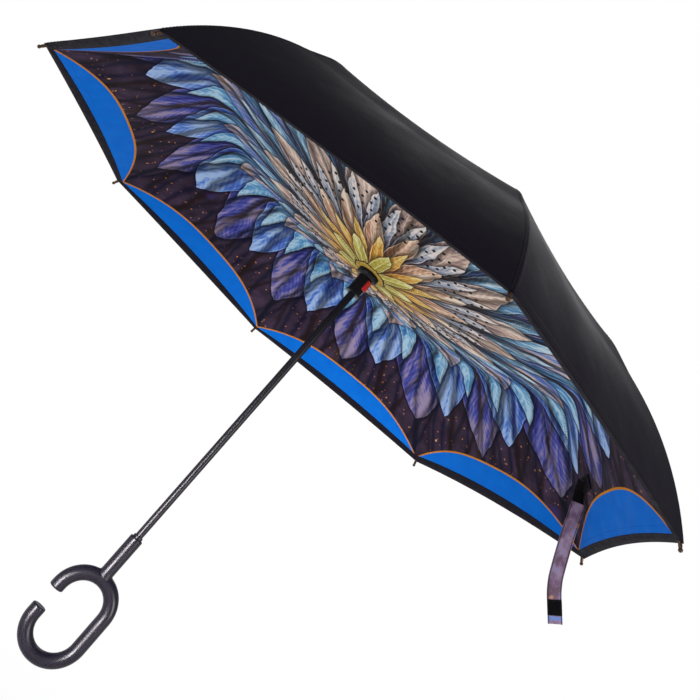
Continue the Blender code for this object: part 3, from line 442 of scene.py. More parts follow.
def plum_ground(f, drawn):
    """Plum cloth with darker clouds, soft warm glows and small orange flecks."""
    ground = f.ramp(f.noise(drawn, 26, 4, 0.6), (0.3, (0.018, 0.011, 0.020)), (0.55, (0.044, 0.026, 0.048)),
                    (0.75, (0.078, 0.046, 0.088)))
    distance, chance = f.cells(drawn, 22)
    halo = f.times(f.fall(distance, 0.0, 0.36, 0.6), f.smooth(chance[1], 0.66, 0.8))
    ground = f.mix(halo, ground, (0.05, 0.035, 0.20))
    for scale, size, pick, tone in ((150, 0.26, 0.80, (0.55, 0.25, 0.14)), (75, 0.17, 0.60, (0.80, 0.30, 0.06)),
                                    (36, 0.12, 0.62, (0.92, 0.48, 0.16))):
        ground = f.mix(f.flecks(drawn, scale, (size * 0.4, size), (pick, pick + 0.05)), ground, tone)
    return ground


def petals(f, drawn, paint, broad):
    """Rings of veined petals painted over the ground."""
    reach, turn = f.polar(drawn)
    # Fine strands that run outwards, for the painted fill of the petals
    around = [f.times(f.math(side, turn), 40.0) for side in ("SINE", "COSINE")]
    strands = f.noise(f.made("CombineXYZ", {0: around[0], 1: around[1], 2: f.times(reach, 12.0)}), 1.0, 5, 0.62)
    for shape, deep, middle, light, bright in PETALS:
        depth, along, across, beside = petal_ring(f, reach, turn, *shape)
        # The petal's shadow on the ring below it
        paint = f.mix(f.smooth(depth, -0.010, 0.0005, 0.0, 0.75), paint, tuple(c * 0.3 for c in deep))
        # Slanting veins, fine strands and broad clouds of tone
        comb = f.math("SINE", f.times(f.times(beside, -1.3, reach), 2 * math.pi / 0.0125))
        shade = f.times(strands, 1.5, f.times(broad, 0.8, f.times(comb, 0.055)))
        shade = f.times(across, -0.22, f.times(along, 0.42, shade))
        fill = f.ramp(f.times(shade, 0.62), (0.50, deep), (0.68, middle), (0.84, light), (0.98, bright))
        midrib = f.times(f.fall(beside, 0.0003, 0.0013, 0.8), f.smooth(along, 0.95, 0.3))
        fill = f.mix(midrib, fill, bright)
        # A light line inside the outline, then the dark outline
        line = f.times(f.smooth(depth, 0.0010, 0.0016), f.fall(depth, 0.0020, 0.0034))
        fill = f.mix(f.times(line, f.smooth(strands, 0.35, 0.6, 0.35, 0.95)), fill, bright)
        fill = f.mix(f.fall(depth, 0.0003, 0.0011, 0.92), fill, tuple(c * 0.35 for c in deep))
        paint = f.mix(f.smooth(depth, 0.0, 0.0006), paint, fill)
    # Round hub rings
    for high, tone in ((0.0290, (0.06, 0.03, 0.015)), (0.0262, (0.62, 0.40, 0.08))):
        paint = f.mix(f.fall(reach, high - 0.0008, high), paint, tone)
    return paint, turn


def printed_cloth():
    """Plum, blue, peach and gold print: many rings of veined petals round the hub on a plum ground with
    warm flecks, and a bright scalloped border behind a gold line."""
    f = Finish("printed polyester")
    flat, edge = f.maps()
    # The place is moved a little by slow noise, so that no drawn line is quite even
    drift = f.vector_math("SUBTRACT", {0: f.noise(flat, 20, 3, output=1), 1: (0.5, 0.5, 0.5)})
    drawn = f.vector_math("ADD", {0: flat, 1: f.vector_math("SCALE", {0: drift, "Scale": 0.020})})
    broad = f.noise(drawn, 24, 3, 0.55)
    paint, turn = petals(f, drawn, plum_ground(f, drawn), broad)
    # Scalloped border behind a gold line. The print sits off the middle: the border is deeper on one side
    rim, share, _ = f.split(edge)
    arch = f.less(1.0, f.math("POWER", f.less(1.0, share), 3.0))
    deep = f.times(f.math("COSINE", f.less(turn, 1.96)), -0.009, 0.051)
    band = f.less(f.times(arch, deep), rim)
    paint = f.mix(f.smooth(band, -0.0032, -0.0026), paint, (0.60, 0.215, 0.008))
    border = f.mix(f.noise(flat, 40, 4), (0.0006, 0.125, 0.58), (0.0018, 0.175, 0.70))
    paint = f.mix(f.smooth(band, 0.0, 0.0005), paint, border)
    threads, bumps = woven(f, flat, edge, 12, (0.5, 0.0004), (95, 0.0005), 0.25)
    return f.surface(f.darker(f.times(threads, 0.12), paint), f.smooth(broad, 0.3, 0.7, 0.6, 0.74), *bumps,
                     specular=0.06)


def strap_print():
    """Mauve, purple and blue patches with orange flecks, on a ribbed ribbon, with painted shade in the groove
    beside each woven edge.
    """
    f = Finish("printed ribbon")
    flat, _ = f.maps()
    x, y, _ = f.split(flat)
    tone = f.ramp(f.noise(f.scaled(flat, 1.0, 0.7, 1.0), 46, 4, 0.6),
                  (0.34, (0.10, 0.060, 0.070)), (0.45, (0.18, 0.110, 0.185)), (0.56, (0.30, 0.21, 0.31)),
                  (0.64, (0.20, 0.21, 0.46)), (0.72, (0.32, 0.40, 0.72)))
    tone = f.mix(f.flecks(flat, 75, (0.12, 0.34), (0.66, 0.74), 0.9), tone, (0.66, 0.30, 0.12))
    past = f.less(y, STRIPE_AT)
    stripe = f.times(f.smooth(past, 0.0, 0.001), f.fall(past, 0.0055, 0.0065))
    tone = f.mix(stripe, tone, (0.16, 0.24, 0.55))
    inset = f.math("ABSOLUTE", f.less(f.math("ABSOLUTE", x), 0.0085))
    ribs = f.math("SINE", f.times(y, 2 * math.pi / 0.0010))
    # Painted shade: the colour darkens in the groove beside each woven edge
    tone = f.darker(f.times(ribs, 0.07, 0.07), f.darker(f.fall(inset, 0.0002, 0.0010, 0.75), tone))
    return f.surface(tone, f.smooth(f.noise(flat, 70, 3), 0.3, 0.7, 0.62, 0.76),
                     (f.noise(flat, 60, 2), 0.3, 0.001), (f.smooth(inset, 0.0, 0.001), 0.5, 0.0003),
                     (ribs, 0.3, 0.00015), specular=0.2)


SOFT_PLASTIC = plain("soft touch black plastic", ((0.0040, 0.0032, 0.0060), (0.0065, 0.0052, 0.00975)), (60, 3),
                     (35, 4), (0.27, 0.39), ((1400, 2), 0.06, 0.00004), mould_line=True, specular=0.22)
HUB_PLASTIC = plain("moulded black plastic", ((0.0036, 0.00304, 0.0044), (0.00585, 0.00494, 0.00715)), (60, 3),
                    (35, 4), (0.29, 0.41), ((2200, 2), 0.06, 0.00004), specular=0.22)
STEEL = plain("black powder coat", ((0.0040, 0.0034, 0.0052), (0.0085, 0.0072, 0.0110)), (40, 4),
              (1.0, 4, 90, 90, 6), (0.30, 0.42), ((900, 2), 0.05, 0.00005), specular=0.18)
BRIGHT = plain("zinc plated steel", ((0.50, 0.50, 0.53), (0.70, 0.70, 0.71)), (1.0, 3, 60, 60, 1800), (300, 4),
               (0.24, 0.42), ((1.0, 3, 60, 60, 1800), 0.1, 0.00005), metallic=1.0)
TIP = plain("dark bronze tips", ((0.040, 0.026, 0.022), (0.110, 0.062, 0.042)), (250, 3), (500, 3), (0.25, 0.4),
            metallic=1.0)
FIBRE = plain("drawn fibreglass", ((0.010, 0.010, 0.011), (0.035, 0.034, 0.036)), (1.0, 3, 700, 700, 60),
              (1.0, 3, 700, 700, 60), (0.28, 0.4), ((1.0, 3, 700, 700, 60), 0.2, 0.0001), coat_weight=0.2,
              coat_roughness=0.2)
RED = plain("red moulded plastic", ((0.52, 0.008, 0.004), (0.70, 0.018, 0.008)), (120, 3), (700, 3),
            (0.28, 0.4), ((2500, 2), 0.15, 0.00006), coat_weight=0.2, coat_roughness=0.15)
BLACK_CLOTH = outer_cloth()
PRINT = printed_cloth()
RIBBON = strap_print()
HOOKS = plain("black hook pad", ((0.0010, 0.0009, 0.0014), (0.0030, 0.0026, 0.0040)), (200, 3), (400, 3),
              (0.7, 0.85), ((1500,), 0.7, 0.0005), specular=0.06)
BLACK_THREAD, PLUM_THREAD = (
    plain(name, tones, (2500, 2), (2500, 2), (0.6, 0.8), ((2500, 2), 0.4, 0.0001), specular=0.25)
    for name, tones in (("black sewing thread", ((0.0098, 0.0084, 0.0119), (0.014, 0.012, 0.017))),
                        ("plum sewing thread", ((0.021, 0.014, 0.035), (0.030, 0.020, 0.050)))))
# Dark edge of each air hole, and the disc inside it: the black outer cloth behind the hole, with painted shade
# in the gap between the canopies
HOLE_EDGE_AND_SHADE = plain("melted edge of an air hole", ((0.0015, 0.0015, 0.0018), (0.0045, 0.0042, 0.005)), (900, 3),
                  (900, 3), (0.5, 0.75), ((900, 3), 0.3, 0.0002), specular=0.15)
HEM = plain("black hem binding", ((0.0060, 0.0045, 0.0085), (0.0110, 0.0085, 0.0150)), (60, 3), (120, 3),
            (0.6, 0.75), ((1800, 2), 0.5, 0.0002), specular=0.05)


# What repeats is laid by Geometry Nodes and kept as a plain mesh

class Tree(Nodes):
    """Builds one Geometry Nodes tree with named inputs."""
    beginning = "GeometryNode"

    def __init__(self, name, **sizes):
        super().__init__(bpy.data.node_groups.new(name, "GeometryNodeTree"))
        sockets = [("Geometry", "INPUT", "Geometry"), *((label, "INPUT", "Float") for label in sizes),
                   ("Finish", "INPUT", "Material"), ("Geometry", "OUTPUT", "Geometry")]
        for label, way, kind in sockets:
            socket = self.tree.interface.new_socket(name=label, in_out=way, socket_type="NodeSocket" + kind)
            if label in sizes:
                socket.default_value = sizes[label]
        self.given = self.tree.nodes.new("NodeGroupInput").outputs

    def facing(self, direction):
        return self.made("FunctionNodeAlignRotationToVector", {"Vector": direction}, axis="Z")

    def finish(self, points, instance, turn):
        placed = self.made("InstanceOnPoints", {"Points": points, "Instance": instance, "Rotation": turn})
        joined = self.made("RealizeInstances", {"Geometry": placed})
        painted = self.made("SetMaterial", {"Geometry": joined, "Material": self.given["Finish"]})
        self.node("NodeGroupOutput", {0: painted})
        return self.tree


def stitch_tree():
    """Short rounded stitches along every line, one for each pitch."""
    t = Tree("stitches", Pitch=0.0040, Length=0.0029, Thickness=THREAD)
    curve = t.made("MeshToCurve", {"Mesh": t.given["Geometry"]})
    even = t.made("ResampleCurve", {"Curve": curve, "Length": t.given["Pitch"]}, mode="LENGTH")
    ball = t.made("MeshUVSphere", {"Segments": 6, "Rings": 4, "Radius": 1.0})
    thick, half = t.given["Thickness"], t.math("MULTIPLY", t.given["Length"], 0.5)
    size = t.made("ShaderNodeCombineXYZ", {0: thick, 1: thick, 2: half})
    stitch = t.made("Transform", {"Geometry": ball, "Scale": size})
    return t.finish(even, stitch, t.facing(t.made("InputTangent")))


def hole_tree():
    """A dark round disc for each hole, standing for the black outer cloth seen through it and painted shade in
    the gap between the canopies, with a raised melted edge, at every point, facing along the point's attribute.
    """
    t = Tree("air holes", Radius=0.0022, Edge=0.00025)
    rim, section = (t.made("CurvePrimitiveCircle", {"Resolution": count, "Radius": t.given[size]})
                    for count, size in ((12, "Radius"), (4, "Edge")))
    edge = t.made("CurveToMesh", {"Curve": rim, "Profile Curve": section})
    disc = t.made("MeshCylinder", {"Vertices": 12, "Radius": t.given["Radius"], "Depth": 0.0001},
                  fill_type="TRIANGLE_FAN")
    hole = t.node("JoinGeometry")
    for part in (edge, disc):
        t.feed(hole.inputs[0], part)
    facing = t.made("InputNamedAttribute", {"Name": "facing"}, data_type="FLOAT_VECTOR")
    return t.finish(t.given["Geometry"], hole.outputs[0], t.facing(facing))


STITCH_TREE, HOLE_TREE = stitch_tree(), hole_tree()


def grown(name, mesh, tree, values, place):
    """The tree's result on the mesh, as a plain mesh at its place."""
    piece = new_piece(name, mesh)
    nodes = piece.modifiers.new("Nodes", "NODES")
    nodes.node_group = tree
    for socket in tree.interface.items_tree:
        if socket.in_out == "INPUT" and socket.name in values:
            nodes[socket.identifier] = values[socket.name]
    settle(piece)
    piece.data.transform(place)
    if "facing" in piece.data.attributes:
        piece.data.attributes.remove(piece.data.attributes["facing"])
    piece.data.shade_smooth()
    return piece


def sewn(name, rows, place, finish, **values):
    """Stitches along rows of points."""
    pairs, start = [], 0
    for row in rows:
        pairs += [(start + i, start + i + 1) for i in range(len(row) - 1)]
        start += len(row)
    mesh = plain_mesh(name, [p for row in rows for p in row], pairs)
    return grown(name, mesh, STITCH_TREE, {"Finish": finish, **values}, place)


# Hard pieces

def stand_for(piece, body, slot, *nodes):
    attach(piece, body)
    if nodes:
        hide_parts(*nodes)
    return piece


def fit(name, mesh, finish, smooth, body, slot, *nodes):
    return stand_for(new_piece(name, mesh, finish, smooth), body, slot, *nodes)


def hand_loop():
    """The C-shaped loop and its neck, moulded as one."""
    bend, half, tube, chamfer = 0.0365, 0.0225, 0.0098, 0.0012
    mouth_high, mouth_low = half - 0.0065, -half + 0.0115
    path = ([(-bend, mouth_high), (-bend, mouth_high + chamfer)] + arc(0, half, bend, bend, math.pi, 0, 49)
            + [(bend, z) for z in np.linspace(half, -half, 12)[1:-1]]
            + arc(0, -half, bend, bend, 0, -math.pi, 49) + [(-bend, mouth_low - chamfer), (-bend, mouth_low)])
    radii = [tube - chamfer] + [tube] * (len(path) - 2) + [tube - chamfer]
    neck = [(0, 0.124), (0.0083, 0.124), (0.0090, 0.1237), (0.0093, 0.1230), (0.0093, 0.0700),
            (0.0098, 0.0640), (0.0098, 0.0590), (0, 0.0590)]
    work = bmesh.new()
    work.from_mesh(swept("hand_loop", [(x, 0, z) for x, z in path], radii, 48))
    work.from_mesh(turned("neck", neck, 48))
    loop = new_piece("hand_loop", mesh_from("hand_loop", work))
    skin = loop.modifiers.new("One skin", "REMESH")
    skin.mode, skin.voxel_size, skin.use_smooth_shade = "VOXEL", 0.0008, True
    ease = loop.modifiers.new("Soft corners", "SMOOTH")
    ease.factor, ease.iterations = 0.5, 5
    dress(settle(loop), SOFT_PLASTIC, 180)
    stand_for(loop, "root", "handle_plastic", "handle")


def turned_fittings():
    """The neck's collar, the shaft, the runner's bell and end ring, and the ferrule."""
    low, base, quarter = 0.1243, 0.7299, math.pi / 2
    top, lip = RUNNER_Z - 0.0059, RUNNER_Z - 0.0408
    collar = [(0.0064, low + 0.0030), (0.0067, low + 0.0028), (0.0068, low + 0.0024), (0.0068, low),
              (0.0054, low), (0.0054, low + 0.0030)]
    tube = [(SHAFT_RADIUS, 0.7298), (SHAFT_RADIUS, 0.0725), (0.00445, 0.0725), (0.00445, 0.7298)]
    bell = [(0.0165, top), (0.0170, top - 0.0005), *arc(0.0128, top - 0.0018, 0.0042, 0.0070, 0, -quarter, 14),
            (0.0108, top - 0.0088), (0.0108, top)]
    end_ring = [(0.0088, lip + 0.003), (0.0088, lip), (0.0112, lip), (0.0115, lip - 0.0003),
                (0.0115, lip - 0.0017), (0.0110, lip - 0.0022), (0.0105, lip - 0.0024),
                (0.0056, lip - 0.0024), (0.0056, lip), (0.0078, lip), (0.0078, lip + 0.003)]
    cap = [(0, base + 0.017), *arc(0.0036, base + 0.0144, 0.0026, 0.0026, quarter, 0, 9),
           *arc(0.0125, base + 0.0093, 0.0063, 0.0063, math.pi, 3 * quarter, 14), (0.0125, base),
           (0.00415, base), (0.00415, base - 0.010), (0, base - 0.010)]
    for name, profile, finish, smooth, body, slot, node in (
            ("neck_collar", collar, HUB_PLASTIC, 30, "root", "hub_plastic", "handle_ring"),
            ("shaft_tube", tube, STEEL, 30, "root", "coated_steel", "shaft"),
            ("runner_bell", bell, HUB_PLASTIC, 40, "runner", "hub_plastic", "runner_flange"),
            ("runner_end_ring", end_ring, HUB_PLASTIC, 40, "runner", "hub_plastic", "runner_end_cap"),
            ("ferrule_cap", cap, HUB_PLASTIC, 40, "root", "hub_plastic", "ferrule")):
        fit(name, turned(name, profile, ring=node != "ferrule"), finish, smooth, body, slot, node)


def button():
    """The red key with three raised grip lines, on the collar's side towards rib 8."""
    face, (low, high) = 0.0123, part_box("release_button")
    middle = (low[2] + high[2]) / 2
    work = bmesh.new()
    for depth, rise, size, *rounding in ((0.0018, 0, (0.0036, 0.009, 0.016), 0.0008),
                                         *((0.0001, step, (0.0008, 0.0062, 0.0009), 0.0003, 2)
                                           for step in (-0.0028, 0, 0.0028))):
        place = to_rib(-1) @ Matrix.Translation((face - depth, 0, middle + rise))
        work.from_mesh(rounded_bar("key", size, place, *rounding))
    fit("button_key", mesh_from("button_key", work), RED, 30, "button", "red_plastic", "release_button")


def rod_arc(share, offset=0.0):
    """A point on the sprung rod in the rib's plane, as (radius, height), moved out by offset."""
    turn = ROD_TURN * (0.5 - share)
    x = ROD_CHORD / 2 - (ROD_RADIUS + offset) * math.sin(turn)
    z = (ROD_RADIUS + offset) * math.cos(turn) - ROD_RADIUS * math.cos(ROD_TURN / 2)
    cos, sin = math.cos(ROD_DROP), math.sin(ROD_DROP)
    return KNUCKLE[0] + x * cos + z * sin, KNUCKLE[1] - x * sin + z * cos


def rod_tips():
    """A drawn metal sleeve with a ball over each rod's end."""
    size = 0.0026
    line = [Vector((r, 0, z)) for r, z in (rod_arc(s) for s in (0.948, 0.955, 0.985, 0.995, 1.0))]
    ball, ahead = line[-1], (line[-1] - line[-2]).normalized()
    shapes = [(line[0], 0.0018), (line[0] + ahead * 0.0003, 0.0022), (line[1], 0.0022), (line[2], 0.0022),
              (ball - ahead * 0.0022, 0.0019)]
    shapes += [(ball + ahead * size * math.sin(lean), max(size * math.cos(lean), 0.00015))
               for lean in np.linspace(-0.9, 1.0, 9) * math.pi / 2]
    for k in range(RIBS):
        tip = swept("rod_tip", *zip(*shapes), 20)
        tip.transform(to_rib(k))
        fit(f"rod_tip_{k + 1}", tip, TIP, 40, f"rod_{k + 1}", "fibreglass")


# Canopies

def cloth_line(layer):
    """The cloth's line over a rib as dense (radius, height) points, the marks on it and its rod start."""
    share = layer.first / (ROD_RADIUS * ROD_TURN)
    along = [rod_arc(share + (1 - share) * i / 60, layer.off - layer.slack * math.sin(math.pi * i / 60))
             for i in range(61)]
    edge, knee, after = Vector(layer.edge), Vector(layer.knee), Vector(along[0])
    start, end = (knee + (way - knee).normalized() * KNEE_ROUND for way in (edge, after))
    bend = [start * (1 - t) ** 2 + knee * 2 * t * (1 - t) + end * t * t for t in np.linspace(0, 1, 33)]
    flat = [edge.lerp(start, t) for t in np.linspace(0, 1, 40)[:-1]]
    line = np.array([tuple(p) for p in flat + bend] + along[1:])
    distance = np.concatenate([[0], np.cumsum(np.hypot(*np.diff(line, axis=0).T))])
    return Layer(**vars(layer), line=line, distance=distance, knee_at=float(distance[len(flat) + 16]),
                 rod_at=float(distance[len(flat) + 33]), length=float(distance[-1]), extra=(0, 0, 0))


def at_rib(layer, k):
    """The layer with its own cut at this rib's end and at the middles of the gores before and after it."""
    return Layer(**{**vars(layer), "extra": (layer.ends[k], layer.gores[k - 1], layer.gores[k])})


def on_line(layer, distance):
    return [np.interp(distance, layer.distance, layer.line[:, axis]) for axis in (0, 1)]


def at_rivet(layer):
    return float(np.interp(RIVET_REACH, layer.line[:, 0], layer.distance))


def cloth_place(layer, s, w):
    """Points of the cloth in the rib's frame: s runs from the hub (0) to the rim (length), w from the rib (0)
    to the middle of the gore (1, or -1 on the other side). Also their flat distance from the hub and from
    the rim."""
    side = np.abs(w)
    bow = 1 - (1 - side) ** 2
    here, before, after = layer.extra
    even = layer.corner + layer.scallop * bow
    cut = even + here + (np.where(w < 0, before, after) - here) * bow
    reach = layer.length - layer.rod_at
    run = np.where(s <= layer.rod_at, s, layer.rod_at + (s - layer.rod_at) * (reach - cut) / reach)
    radius, height = on_line(layer, run)
    ahead, behind = on_line(layer, run + 0.002), on_line(layer, run - 0.002)
    slope = np.arctan2(ahead[1] - behind[1], ahead[0] - behind[0])
    share = np.clip(run / layer.length, 0, 1)
    dip = layer.dip * 4 * share * (1 - share) * bow
    radius, height = radius + dip * np.sin(slope), height - dip * np.cos(slope)
    cos, sin = math.cos(HALF_TURN), math.sin(HALF_TURN)
    x, y = radius * cos, radius * sin * (side - 1)
    points = np.stack([x * cos - y * sin, (x * sin + y * cos) * np.where(w < 0, -1, 1), height], axis=-1)
    return points, run, layer.length - even - run


def cloth_normal(layer, s, w):
    points = [cloth_place(layer, s + ds, w + dw)[0] for ds, dw in ((SMALL_STEP, 0), (-SMALL_STEP, 0),
                                                                   (0, SMALL_STEP), (0, -SMALL_STEP))]
    normal = np.cross(points[0] - points[1], points[2] - points[3])
    return normal / np.linalg.norm(normal, axis=-1, keepdims=True)


def on_cloth(layer, s, w, lift=0.0):
    """Points of the cloth, lifted off it by lift."""
    points = cloth_place(layer, s, w)[0]
    return points + cloth_normal(layer, s, w) * lift if np.any(lift) else points


def cloth_shell(name, layer, k, rows, columns, finish):
    """One closed sheet of cloth over the given rows and columns, with its maps and normals, its area and the
    middle of its points."""
    turn = np.array(to_rib(k).to_3x3())
    layer = at_rib(layer, k)
    s, w = np.meshgrid(rows, columns, indexing="ij")
    normal = cloth_normal(layer, s, np.clip(w, columns[0] + SMALL_STEP, columns[-1] - SMALL_STEP)) @ turn.T
    points, run, rim = cloth_place(layer, s, w)
    middle = Vector(points.reshape(-1, 3).mean(axis=0))
    reach = layer.edge[0] + run
    azimuth = np.arctan2(points[..., 1], points[..., 0]) + 2 * HALF_TURN * k
    points = points @ turn.T
    steps = points[1:, :-1] - points[:-1, :-1], points[:-1, 1:] - points[:-1, :-1]
    area = float(np.linalg.norm(np.cross(*steps), axis=-1).sum())

    count = s.size
    at = np.arange(count).reshape(s.shape)
    broad = grid_faces(*s.shape)
    border = np.concatenate([at[:, 0], at[-1, 1:], at[-2::-1, -1], at[0, -2:0:-1]])
    after = np.roll(border, -1)
    walls = np.stack([after, border, border + count, after + count], axis=-1)
    spots = np.concatenate([points + normal * CLOTH / 2, points - normal * CLOTH / 2]).reshape(-1, 3)
    mesh = plain_mesh(name, spots, (), np.concatenate([broad, broad[:, ::-1] + count, walls]).tolist())
    flat, edge = (np.tile(np.stack(pair, axis=-1).reshape(-1, 2), (2, 1)) for pair in (
        (reach * np.cos(azimuth), reach * np.sin(azimuth)), (rim, np.abs(w))))
    corners = add_maps(mesh, Flat=flat, Edge=edge)
    mesh.shade_smooth()
    shown = np.concatenate([normal, -normal]).reshape(-1, 3)[corners]
    for face in mesh.polygons[2 * len(broad):]:
        shown[face.loop_start:face.loop_start + 4] = face.normal
    mesh.normals_split_custom_set([tuple(v) for v in shown])
    return new_piece(name, mesh, finish), area, middle


def folding(middle, bar):
    """The direction in which cloth with this middle would fold on to the bar, and a point of the bar."""
    start, end = bar
    ahead, away = (end - start).normalized(), middle - start
    return (away - ahead * away.dot(ahead)).normalized(), start


def carried(piece, carrier, k, slot, fold, keep, *nodes):
    """The piece rides on its rib, rod or strut, with a mesh of its own."""
    stand_for(piece, f"{carrier}_{k + 1}", slot, *nodes)
    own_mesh(piece)
    return piece


def secant(layer, first, last):
    """Two points of the cloth's line over the rib, for the bar that the cloth would fold on to."""
    return tuple(Vector((r, 0, z)) for r, z in (on_line(layer, first), on_line(layer, last)))


def rod_bar(layer):
    rod = layer.length - layer.knee_at
    return secant(layer, layer.knee_at + 0.2 * rod, layer.knee_at + 0.85 * rod)


def canopies(outer, inner):
    """Both canopies as sewn gores. They part at the hinges, and each part rides on its own rib, rod or strut.
    """
    join, knee = at_rivet(outer), secant(outer, outer.knee_at, outer.knee_at)[0]
    under = secant(inner, 0.02, 0.9 * inner.knee_at)
    first, second = 0.28 * inner.knee_at, 0.56 * inner.knee_at
    below = Vector((0, 0, -0.004))
    plan = (("outer_top", outer, "strut", 0.0, join, 22, 3, (CROWN_PIVOT + below, STRUT_END + below), 0.05),
            ("outer_shoulder", outer, "rod", join, outer.knee_at, 10, 1, (knee, knee + CLOSED_UPRIGHT), 0.06),
            ("outer_skirt", outer, "rod", outer.knee_at, outer.length, 30, 1, rod_bar(outer), 0.07),
            ("inner_middle", inner, "rib", 0.0, first, 10, 1, under, 0.20),
            ("inner_ring", inner, "rib", first, second, 10, 1, under, 0.12),
            ("inner_lining", inner, "rib", second, inner.knee_at, 16, 1, under, 0.095),
            ("inner_border", inner, "rod", inner.knee_at, inner.length, 30, 1, rod_bar(inner), RIM_KEEP))
    for label, layer, carrier, low, high, rows, strips, bar, keep in plan:
        name = label.split("_")[0]
        finish, slot = (BLACK_CLOTH, "outer_cloth") if name == "outer" else (PRINT, "printed_cloth")
        edges = np.linspace(0, 1, strips + 1)
        sides = list(zip(edges, edges[1:])) + [(-b, -a) for a, b in zip(edges, edges[1:])]
        for k in range(RIBS):
            for letter, (one, two) in zip("abcdef", sides):
                piece, area, middle = cloth_shell(f"{label}_{k + 1}_{letter}", layer, k,
                                                  np.linspace(low, high, rows),
                                                  np.linspace(one, two, 12 // strips + 1), finish)
                carried(piece, carrier, k, slot, folding(middle, bar), keep, f"{name}_gore_{k + 1}")
                widest, length = on_line(layer, high)[0] * math.sin(HALF_TURN) * (two - one), high - low
                # A sheet fills at least three tenths of its flat size
                length = min(length, area / (0.3 * widest))
    hub_cloth(outer, "outer_hub_cloth", "root", BLACK_CLOTH, "outer_cloth")
    hub_cloth(inner, "inner_hub_cloth", "runner", PRINT, "printed_cloth")


def hub_cloth(layer, name, body, finish, slot):
    """The round middle of a canopy, clamped between the hub and its cap."""
    (low, height), (high, _) = layer.hub, layer.edge
    high, over, under = high + 0.0012, height + CLOTH / 2, height - CLOTH / 2
    mesh = turned(name, [(high, over), (high, under), (low, under), (low, over)], ring=True)
    flat = [v.co[:2] for v in mesh.vertices]
    add_maps(mesh, Flat=flat, Edge=np.full((len(flat), 2), 0.5))
    fit(name, mesh, finish, 40, body, slot)


def hem_bands(outer, inner):
    """The black turned hem that joins the two canopies round the rim, with its rows of stitches."""
    for k in range(RIBS):
        for side, letter in ((1, "a"), (-1, "b")):
            low, high = (on_cloth(at_rib(layer, k), np.full(25, layer.length), np.linspace(0, side, 25))
                         for layer in (inner, outer))

            def line(share, sag, drop=0.0):
                sunk = HEM_SAG * math.sin(math.pi * min(max(sag, 0), 1)) + drop
                return low + (high - low) * share - (0, 0, sunk)

            grid = [line(share, share) for share in np.linspace(-0.05, 0.97, 6)]
            band = walled(f"hem_band_{k + 1}_{letter}", grid, CLOTH, to_rib(k), HEM, 40)
            rows = [line(share, 0.12, CLOTH / 2) for share in (0.12, 0.88)]
            stitches = sewn(f"hem_stitches_{k + 1}_{letter}", rows, to_rib(k), BLACK_THREAD)
            fold = folding(Vector(((low + high) / 2).mean(axis=0)), rod_bar(inner))
            for piece in (band, stitches):
                carried(piece, "rod", k, "outer_cloth", fold, RIM_KEEP)


def seam_stitches(outer, inner):
    """Two rows of stitches beside every rib, on both canopies."""
    join, tall = at_rivet(outer), CLOTH / 2 + THREAD * 0.3
    strut, rod = STRUT_END - CROWN_PIVOT, CLOSED_UPRIGHT
    on_strut = (Vector((-strut.z, 0, strut.x)).normalized(), CROWN_PIVOT)
    on_rod = (Vector((-rod.z, 0, rod.x)).normalized(), secant(outer, outer.knee_at, outer.knee_at)[0])
    plan = (("top_seam", "strut", on_strut, 0.06, ((outer, 0.004, join, tall),)),
            ("shoulder_seam", "rod", on_rod, 0.1, ((outer, join, outer.knee_at, tall),)),
            ("rod_seam", "rod", BESIDE_RIB, 0.1, ((outer, outer.knee_at, outer.length - 0.002, tall),
                                                  (inner, inner.knee_at, inner.length - 0.002, -tall))),
            ("lining_seam", "rib", BESIDE_RIB, 0.1, ((inner, 0.004, inner.knee_at, -tall),)))
    for label, carrier, fold, keep, parts in plan:
        for k in range(RIBS):
            rows = []
            for layer, low, high, lift in parts:
                s = np.arange(low, high, 0.008)
                beside = SEAM_ROW / np.maximum(on_line(layer, s)[0] * math.sin(HALF_TURN), 2 * SEAM_ROW)
                rows += [on_cloth(at_rib(layer, k), s, beside * side, lift) for side in (1, -1)]
            carried(sewn(f"{label}_{k + 1}", rows, to_rib(k), BLACK_THREAD), carrier, k,
                    "outer_cloth" if label != "lining_seam" else "printed_cloth", fold, keep)


def air_holes(inner):
    """Punched air holes with melted edges, in four rows round the middle of the inner canopy."""
    first_row, row_step, spacing, beside_seam, marks = 0.142, 0.0150, 0.0145, 0.11, []
    for row in range(4):
        reach = first_row + row_step * row
        count = round(2 * reach * math.sin(HALF_TURN) / spacing)
        across = (np.arange(count) + (0.25, 0.5)[row % 2]) / count * 2 - 1
        marks += [(reach - inner.edge[0], w) for w in across if abs(w) > beside_seam]
    s, w = np.array(marks).T
    normal = cloth_normal(inner, s, w)
    mesh = plain_mesh("air_holes", on_cloth(inner, s, w) - normal * (CLOTH / 2 + 0.0001))
    facing = mesh.attributes.new("facing", "FLOAT_VECTOR", "POINT")
    facing.data.foreach_set("vector", (-normal).astype(np.float32).ravel())
    for k in range(RIBS):
        carried(grown(f"air_holes_{k + 1}", mesh, HOLE_TREE, {"Finish": HOLE_EDGE_AND_SHADE}, to_rib(k)), "rib", k,
                "printed_cloth", BESIDE_RIB, 0.12)


# Strap

